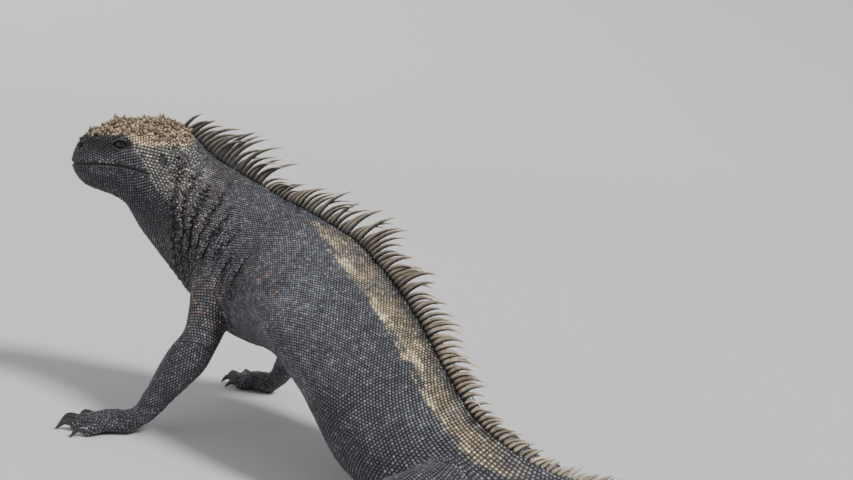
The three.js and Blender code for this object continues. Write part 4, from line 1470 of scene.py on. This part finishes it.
def crown_nubs(tree, nub, horn, draw):
    """Crusted tubercles over the crown and brow, with fine ones between them."""
    skin = bpy.data.objects["skin"].data
    points = read_points(skin)
    normals = read_normals(skin)
    u, _, v = head_spot(points)
    top = (u > -4) & (u < 71) & ~crown_free(u, v, normals) & eye_clear(points, 1.0)
    order = np.random.default_rng(41).permutation(np.flatnonzero(top))
    spots = points[order]
    gap = look_up(CROWN_GAP, (spots - NAPE_PLACE) @ HEAD_AHEAD)
    keep = thin(spots, gap)
    small = spots[~keep]
    spots, gap, out = keep_only(keep, spots, gap, normals[order])
    half = gap * 0.52 * (0.72 + 0.6 * draw.random(len(spots)) ** 2)
    u, _, v = head_spot(spots)
    tall = half * (0.9 + 1.1 * draw.random(len(spots)) ** 1.6) * look_up(CROWN_RISE, u)
    upward = smooth_step((unit(out) * HEAD_UP).sum(1), 0.2, 0.8)
    tall *= 0.85 + 0.5 * upward
    tall *= 1 + 0.35 * bump(u - 56, 7) * upward
    tone = 0.36 + 0.95 * draw.random(len(spots))
    tone *= 0.75 + 0.35 * smooth_step(ripple(spots, 16, 43), -0.6, 0.8)
    size = np.stack([half * 1.06, half, tall], -1)
    made = set_nubs("crown", nub, spots, out, -HEAD_AHEAD, size, markings(spots) * tone[:, None], 0.4, horn,
                    CROWN_SHADE_AND_GLINT)
    filler = small[clear_of(small, spots, 1.6)]
    filler = filler[thin(filler, 1.5)]
    places, outward, good = settle(tree, filler, 3)
    places, outward = keep_only(good, places, outward)
    half = np.full(len(places), 0.95)
    colours = toned(places, draw, 0.35, 0.45)
    return made + set_nubs("crown_fine", cone_form(), places, outward, -HEAD_AHEAD,
                           np.stack([half, half, half * 0.8], -1), np.clip(colours, 0.01, 0.95), 0.2, horn)


def toned(places, draw, low, spread, power=1):
    """The hide's colour at each place, each a little lighter or darker."""
    return markings(places) * (low + spread * draw.random(len(places)) ** power)[:, None]


def cheek_cones(tree, nub, horn, draw, side, name):
    """Pale cones that fan back from behind the eye over the cheek; gives the pieces and their places."""
    wanted = []
    for ring in range(21):
        d = 8.5 + 2.25 * ring
        size = 1.08 - 0.015 * ring
        for turned in np.arange(-12 + (ring % 2) * 0.5 * 118 / d, 112, 118 / d):
            bearing = math.radians(180 + turned)
            wanted.append((39 + d * math.cos(bearing), -12 + d * math.sin(bearing), size))
    table = np.array(wanted)
    table = table[(table[:, 0] > 1) & (on_cheek(table[:, 0], table[:, 1]) > 0.45)]
    table = table[from_ear(table[:, 0], table[:, 1]) > 0.95]
    table = table[mouth_clear(head_side(table[:, 0], table[:, 1], side), 2.6)]
    places, outward, table = set_beside(tree, table, side, 9)
    places, outward, table = keep_only(eye_clear(places, 1.8), places, outward, table)
    half = 0.86 * table[:, 2] * (0.85 + 0.3 * draw.random(len(places)))
    tall = half * (1.1 + 0.5 * draw.random(len(places)))
    colours = toned(places, draw, 0.5, 0.6)
    size = np.stack([half * 1.5, half * 0.95, tall], -1)
    fan = unit(places - EYES[side])
    return set_nubs("cheek_" + name, nub, places, outward, fan, size, colours, 0.3, horn, CHEEK_SHADE_AND_GLINT), places


def lip_plates(tree, nub, horn, draw, side, name):
    """Plates along the lips."""
    rows = []
    for above in (1.55, -1.6):
        d = 23.0
        while d < 69.5:
            rows.append((d, float(look_up(MOUTH, d)) + above))
            d += 2.15
    places, outward, _ = set_beside(tree, rows, side, 3.5)
    size = np.tile([1.12, 1.0, 0.62], (len(places), 1))
    colours = toned(places, draw, 0.55, 0.5, 2)
    colours = np.clip(colours, 0.01, 0.95)
    return set_nubs("lips_" + name, nub, places, outward, -HEAD_AHEAD, size, colours, 0.25, horn)


def nostril_ring(tree, nub, horn, side, name):
    """A raised ring of small nubs round the nostril."""
    rows = [(NOSTRIL[0] + 2.5 * math.cos(a), NOSTRIL[1] + 2.5 * math.sin(a)) for a in turns(9).tolist()]
    places, outward, _ = set_beside(tree, rows, side, 3.5)
    size = np.tile([0.85, 0.85, 0.7], (len(places), 1))
    colours = np.clip(markings(places) * 1.1, 0.01, 0.95)
    return set_nubs("nostril_" + name, nub, places, outward, -HEAD_AHEAD, size, colours, 0.3, horn)


def low_cheek(nub, horn, draw, taken):
    """Cones wherever the fans left the cheeks bare."""
    skin = bpy.data.objects["skin"].data
    points = read_points(skin)
    normals = read_normals(skin)
    u, w, v = head_spot(points)
    bare = (on_cheek(u, v) >= 0.5) & (u > 0.5) & (np.abs(w) > 8) & crown_free(u, v, normals)
    order = np.random.default_rng(44).permutation(np.flatnonzero(bare))
    spots, outward = keep_only(order, points, normals)
    spots, outward = keep_only(clear_of(spots, taken, 1.9) & mouth_clear(spots, 2.4), spots, outward)
    spots, outward = keep_only(thin(spots, 1.9), spots, outward)
    half = 0.8 * (0.85 + 0.3 * draw.random(len(spots)))
    colours = toned(spots, draw, 0.5, 0.6)
    size = np.stack([half * 1.4, half * 0.95, half * 1.3], -1)
    return set_nubs("cheek_low", nub, spots, outward, -HEAD_AHEAD - 0.7 * HEAD_UP, size, colours, 0.3, horn,
                    CHEEK_SHADE_AND_GLINT)


class IGUANA_OT_crown(bpy.types.Operator):
    """Crusted tubercles over the crown and brow, pale cones on the cheek and plates along the lips"""
    bl_idname = "iguana.crown"
    bl_label = "Crown, cheeks and lips"

    def execute(self, context):
        tree = skin_tree()
        nub = nub_form()
        horn = hide_material("crown_horn", 0.6, 1500, 0.0003, 0.4)
        draw = np.random.default_rng(42)
        made = crown_nubs(tree, nub, horn, draw)
        taken = []
        for side, name in ((1, "left"), (-1, "right")):
            cones, places = cheek_cones(tree, nub, horn, draw, side, name)
            taken.append(places)
            made += cones
            made += lip_plates(tree, nub, horn, draw, side, name)
            made += nostril_ring(tree, nub, horn, side, name)
        made += low_cheek(nub, horn, draw, np.concatenate(taken))
        smooth(*made)
        return {"FINISHED"}


def crest_rows(draw):
    """Distances of the spines along the back, each with the spacing there."""
    rows = []
    s = float(CREST_FROM)
    while s > CREST_TO:
        step = float(look_up(CREST_STEP, s))
        rows.append((s, step))
        s -= step * (0.88 + 0.24 * draw.random())
    return rows


def spine(s, step, form, tree, sizes, draw):
    """Points and tints of one spine: flattened, curved back, dark with pale edges."""
    _, ahead, left, up, _ = (v[0] for v in back_frame(s))
    base = body_point(s, math.pi / 2).reshape(3)
    found = tree.find_nearest(lift(base[None])[0].tolist(), 8 * MM)
    if found[0] is not None:
        base = np.array(found[0]) / MM - SHIFT
    tall = float(column(CREST, 1, np.array([s]))[0]) * (0.86 + 0.3 * draw.random()) * sizes.crest_height
    tall *= float(look_up(CREST_SHARE, s))
    if draw.random() < 0.1 and s > 20:
        tall *= 0.7
    long = step * (0.38 + 0.1 * draw.random()) + 0.02 * tall
    thick = min(1.6, 0.4 + 0.055 * tall + 0.16 * step)
    t = form[:, 2]
    taper = (1 - t) ** 0.6 * (1 + 0.5 * t)
    taper = np.where(t > 0.995, 0.05, taper)
    spread = np.hypot(form[:, 0], form[:, 1])[:, None]
    ring = np.where(spread > 1e-6, form[:, :2] / np.maximum(spread, 1e-6), 0)
    lean = float(look_up(CREST_LEANS, s)) * (0.76 + 0.48 * draw.random())
    loose = float(bump(s - 246, 26))
    sway = (0.16 + 0.3 * loose) * (draw.random() - 0.5) * 2
    lean += 0.5 * loose * (draw.random() - 0.3)
    tall *= 1 + 0.45 * loose * (draw.random() - 0.15)
    along = ring[:, 0] * long * taper - lean * tall * t ** float(look_up(CREST_CURL, s))
    aside = ring[:, 1] * thick * taper * 0.8 + sway * tall * t ** 1.6
    drop = 0.34 * lean * lean * tall * t ** 2.6
    rise = (tall + 1.8) * t - 1.8 - drop
    points = base + ahead * along[:, None] + left * aside[:, None] + up * rise[:, None]
    dark = np.array(SPINE_DARK) * (0.6 + 0.7 * draw.random())
    pale = np.array(sizes.spine_colour[:]) * (0.7 + 0.5 * draw.random())
    front = float(look_up(EDGE_FROM, s))
    edge = smooth_step(ring[:, 0], front, front + 0.55) * smooth_step(t, 0.02, 0.3)
    edge = np.maximum(edge, 0.7 * smooth_step(t, 0.6, 1.0))
    edge *= float(look_up(EDGE_SHARE, s))
    edge *= 0.7 + 0.5 * draw.random()
    return points, dark + np.clip(edge, 0, 1)[:, None] * (pale - dark)


class IGUANA_OT_crest(bpy.types.Operator):
    """Spines of the crest from the nape to the tail's tip, curved back and pale along their edges"""
    bl_idname = "iguana.crest"
    bl_label = "Crest"

    def execute(self, context):
        sizes = context.scene.iguana_sizes
        tree = skin_tree()
        form, faces = cut_cone(8, 0.06, (0.12, 0.26, 0.4, 0.54, 0.67, 0.79, 0.9))
        form[:, 2] = np.clip(form[:, 2], 0, 1)
        draw = np.random.default_rng(51)
        rows = crest_rows(draw)
        spines = [spine(s, step, form, tree, sizes, draw) for s, step in rows]
        points = np.concatenate([each[0] for each in spines])
        colours = np.concatenate([each[1] for each in spines])
        roots = np.array([body_root(np.array([s]), np.array([math.pi / 2]))[0] for s, _ in rows])
        tris = (faces[None] + (np.arange(len(rows)) * len(form))[:, None, None]).reshape(-1, 3)
        flat = np.stack([form[:, 0], form[:, 2] - 0.5], -1)
        uv = (roots[:, None, :] + flat[None] * PATCH).reshape(-1, 2)
        horn = hide_material("spine_horn", 0.48, 1200, 0.0003, 0.5)
        smooth(coat_piece("crest", points, tris, np.clip(colours, 0.004, 0.95), uv, horn, "skin"))
        return {"FINISHED"}


def eye_material():
    """A wet, nearly black eye with a dark brown iris, painted about its gaze."""
    material, shader, _ = mottled_material("wet_eye", 0.22, 0.35, 1400, 2, (0, 1), (0.55, 1.45))
    shader.inputs["Coat Weight"].default_value = 0.15
    shader.inputs["Coat Roughness"].default_value = 0.05
    return material


class IGUANA_OT_eyes(bpy.types.Operator):
    """Dark wet eyeballs between rimmed lids"""
    bl_idname = "iguana.eyes"
    bl_label = "Eyes and lids"

    def execute(self, context):
        wet = eye_material()
        rim = hide_material("lid_rim", 0.5, 1800, 0.0002, 0.5)
        wide, high = LID_OPEN
        for side, name in ((1, "left"), (-1, "right")):
            bpy.ops.object.select_all(action="DESELECT")
            bpy.ops.mesh.primitive_uv_sphere_add(segments=72, ring_count=48, radius=1)
            ball = bpy.context.object
            ball.name = "eyeball_" + name
            gaze = unit(HEAD_LEFT * side + 0.12 * HEAD_AHEAD + 0.02 * HEAD_UP)
            cross_way = unit(np.cross(HEAD_UP, gaze))
            up = np.cross(gaze, cross_way)
            local = np.array([v.co[:] for v in ball.data.vertices])
            turned = local[:, 0:1] * cross_way + local[:, 1:2] * up + local[:, 2:3] * gaze
            off = np.degrees(np.arccos(np.clip(local[:, 2], -1, 1)))
            radius = (EYE_RADIUS - 0.35) * (1 + 0.07 * bump(off, 26))
            points = EYES[side] + turned * radius[:, None]
            ball.data.vertices.foreach_set("co", lift(points).ravel())
            ball.data.update()
            colours = np.tile(EYE_WHITE, (len(points), 1))
            iris = 1 - smooth_step(off, 34, 38)
            colours += iris[:, None] * (np.array(EYE_IRIS) - colours)
            pupil = 1 - smooth_step(off, 15, 18)
            colours += pupil[:, None] * (np.array(EYE_PUPIL) - colours)
            paint(ball.data, colours)
            smooth(ball)
            finish_piece(ball, wet, "eye", "eye_" + name)
            for part, sign, size in (("upper", 1, 0.95), ("lower", -1, 0.75)):
                rows = []
                for t in np.linspace(-1, 1, 25):
                    along = t * (wide + 0.5)
                    rise = sign * (high + 0.15) * (1 - abs(t) ** 2.2)
                    out = math.sqrt(max(1, (EYE_RADIUS + 1.1) ** 2 - along * along - rise * rise))
                    rows.append(EYES[side] + HEAD_AHEAD * along + HEAD_UP * rise + HEAD_LEFT * side * out)
                t = np.linspace(-1, 1, 13)
                radii = size * (0.35 + 0.65 * (1 - t * t) ** 0.5)
                places = np.array(rows)[::2]
                rings = tube_rings(places, radii, 10, 37)
                lid = loft(f"lid_{part}_{name}", rings)
                # Upper lid painted lighter and lower lid darker: painted light from above and painted shade
                # beneath
                colour = np.array(LID_COLOUR) * (1.25 if sign > 0 else 0.9)
                paint(lid.data, np.tile(colour, (len(lid.data.vertices), 1)))
                face_out(lid)
                smooth(lid)
                finish_piece(lid, rim, "skin")
        return {"FINISHED"}


class IGUANA_OT_claws(bpy.types.Operator):
    """Long hooked claws at the ends of the toes"""
    bl_idname = "iguana.claws"
    bl_label = "Claws"

    def execute(self, context):
        horn = hide_material("claw_horn", 0.32, 900, 0.00015, 0.5)
        for leg in leg_joints():
            pieces = []
            for k, toe in enumerate(leg.toes):
                _, hook = toe_line(leg, toe)
                size = toe[3]
                rings = tube_rings(hook, (size * 0.5, size * 0.42, size * 0.26, 0.35), 12, 18, 1.15)
                pieces.append(loft(f"claw_{k}", rings))
            only(*pieces)
            bpy.ops.object.join()
            made = context.object
            made.name = "claws_" + leg.name
            face_out(made)
            points = read_points(made.data)
            points[:, 2] = np.maximum(points[:, 2], 0)
            write_points(made.data, points)
            colours = np.array(CLAW_COLOUR)[None] * (1 + 0.5 * ripple(points, 6, 61))[:, None]
            paint(made.data, np.clip(colours, 0.004, 1))
            smooth(made)
            finish_piece(made, horn, "skin")
        return {"FINISHED"}


def floor_material():
    """A pale, almost plain floor."""
    material = bpy.data.materials.new("pale_floor")
    material.use_nodes = True
    nodes = material.node_tree.nodes
    shader = nodes["Principled BSDF"]
    shader.inputs["Base Color"].default_value = (0.62, 0.61, 0.6, 1)
    shader.inputs["Roughness"].default_value = 0.85
    return material


def shape_sweep(floor):
    """Turns the edge of the round floor up all about in a soft curve."""
    mesh = floor.data
    form = bmesh.new()
    form.from_mesh(mesh)
    rim = [e for e in form.edges if e.is_boundary]
    radius = 4.5
    for turned in np.radians(np.arange(7.5, 76, 7.5)):
        out = 4.5 + 6 * math.sin(turned)
        rise = 6 * (1 - math.cos(turned))
        grown = bmesh.ops.extrude_edge_only(form, edges=rim)["geom"]
        rim = [g for g in grown if isinstance(g, bmesh.types.BMEdge)]
        rim = [e for e in rim if e.is_boundary]
        for each in (g for g in grown if isinstance(g, bmesh.types.BMVert)):
            each.co.x *= out / radius
            each.co.y *= out / radius
            each.co.z = rise
        radius = out
    bmesh.ops.recalc_face_normals(form, faces=form.faces)
    form.to_mesh(mesh)
    form.free()
    for face in mesh.polygons:
        face.use_smooth = True
    if mesh.polygons[0].normal.z < 0:
        mesh.flip_normals()


class IGUANA_OT_stage(bpy.types.Operator):
    """A pale floor, soft lights and the camera at the photograph's angle"""
    bl_idname = "iguana.stage"
    bl_label = "Stage"

    def execute(self, context):
        bpy.ops.object.select_all(action="DESELECT")
        bpy.ops.mesh.primitive_circle_add(vertices=96, radius=4.5, fill_type="NGON", location=(0, 0, 0))
        floor = context.object
        floor.name = "floor"
        shape_sweep(floor)
        floor.data.materials.append(floor_material())
        middle = Vector(lift(np.array([[110.0, -30.0, 90.0]]))[0])
        key = bpy.data.lights.new("key", "SUN")
        key.energy = KEY_STRENGTH
        key.angle = math.radians(14)
        lamp = bpy.data.objects.new("key", key)
        lamp.rotation_euler = Vector(KEY_FROM).to_track_quat("Z", "Y").to_euler()
        context.collection.objects.link(lamp)
        soft = bpy.data.lights.new("fill", "AREA")
        soft.size = 2.4
        soft.energy = 14
        lamp = bpy.data.objects.new("fill", soft)
        lamp.location = middle + Vector((1.4, 1.9, 1.2))
        lamp.rotation_euler = (middle - lamp.location).to_track_quat("-Z", "Y").to_euler()
        context.collection.objects.link(lamp)
        world = bpy.data.worlds.new("studio")
        world.use_nodes = True
        world.node_tree.nodes["Background"].inputs["Color"].default_value = (0.9, 0.93, 1.0, 1)
        world.node_tree.nodes["Background"].inputs["Strength"].default_value = 0.5
        context.scene.world = world
        lens = bpy.data.cameras.new("camera")
        lens.lens = CAMERA_LENS
        lens.sensor_width = 36
        lens.clip_start = 0.01
        lens.clip_end = 120
        camera = bpy.data.objects.new("camera", lens)
        dip = math.radians(CAMERA_DIP)
        roll = math.radians(CAMERA_ROLL)
        look = np.array([0, -math.cos(dip), -math.sin(dip)])
        level = np.array([-1.0, 0, 0])
        up = np.cross(level, look)
        right = level * math.cos(roll) + up * math.sin(roll)
        upward = up * math.cos(roll) - level * math.sin(roll)
        turned = Matrix((right, upward, -look)).transposed().to_4x4()
        camera.matrix_world = Matrix.Translation(Vector(lift(np.array([CAMERA_PLACE]))[0])) @ turned
        context.collection.objects.link(camera)
        context.scene.camera = camera
        return {"FINISHED"}


class IguanaSizes(bpy.types.PropertyGroup):
    skin_cell: bpy.props.FloatProperty(
        name="Skin cell", description="Size of the cells the skin is cast in", default=0.00182, min=0.001,
        max=0.004, subtype="DISTANCE", unit="LENGTH",
    )
    scale_relief: bpy.props.FloatProperty(
        name="Scale relief", description="How far the small scales stand up, beside their usual height",
        default=1.0, min=0.2, max=3, subtype="FACTOR",
    )
    crest_height: bpy.props.FloatProperty(
        name="Crest height", description="Height of the crest's spines, beside their usual height",
        default=1.0, min=0.3, max=1.2, subtype="FACTOR",
    )
    hide_colour: bpy.props.FloatVectorProperty(
        name="Hide", description="Colour of the dark hide", default=SKIN_COLOUR, min=0, max=1, size=3,
        subtype="COLOR",
    )
    crown_colour: bpy.props.FloatVectorProperty(
        name="Crown", description="Colour of the crust on the crown", default=CROWN_COLOUR, min=0,
        max=1, size=3, subtype="COLOR",
    )
    shed_colour: bpy.props.FloatVectorProperty(
        name="Shed skin", description="Colour of the old skin beside the crest", default=SHED_COLOUR, min=0,
        max=1, size=3, subtype="COLOR",
    )
    spine_colour: bpy.props.FloatVectorProperty(
        name="Spine edge", description="Pale colour of the edges of the crest's spines", default=SPINE_PALE,
        min=0, max=1, size=3, subtype="COLOR",
    )


class IGUANA_PT_panel(bpy.types.Panel):
    bl_idname = "IGUANA_PT_panel"
    bl_label = "Marine iguana"
    bl_space_type = "VIEW_3D"
    bl_region_type = "UI"
    bl_category = "Iguana"

    def draw(self, context):
        sizes = context.scene.iguana_sizes
        column_box = self.layout.column()
        for name in IguanaSizes.__annotations__:
            column_box.prop(sizes, name)
        for each in PIECES:
            column_box.operator(each.bl_idname)


PIECES = (
    IGUANA_OT_stage,
    IGUANA_OT_skin,
    IGUANA_OT_scales,
    IGUANA_OT_crown,
    IGUANA_OT_crest,
    IGUANA_OT_eyes,
    IGUANA_OT_claws,
)
CLASSES = (IguanaSizes, *PIECES, IGUANA_PT_panel)


def register():
    for each in CLASSES:
        bpy.utils.register_class(each)
    bpy.types.Scene.iguana_sizes = bpy.props.PointerProperty(type=IguanaSizes)


def unregister():
    del bpy.types.Scene.iguana_sizes
    for each in reversed(CLASSES):
        bpy.utils.unregister_class(each)


def main():
    """Makes every piece in order."""
    register()
    for each in PIECES:
        group, name = each.bl_idname.split(".")
        getattr(getattr(bpy.ops, group), name)()


if __name__ == "__main__":
    main()
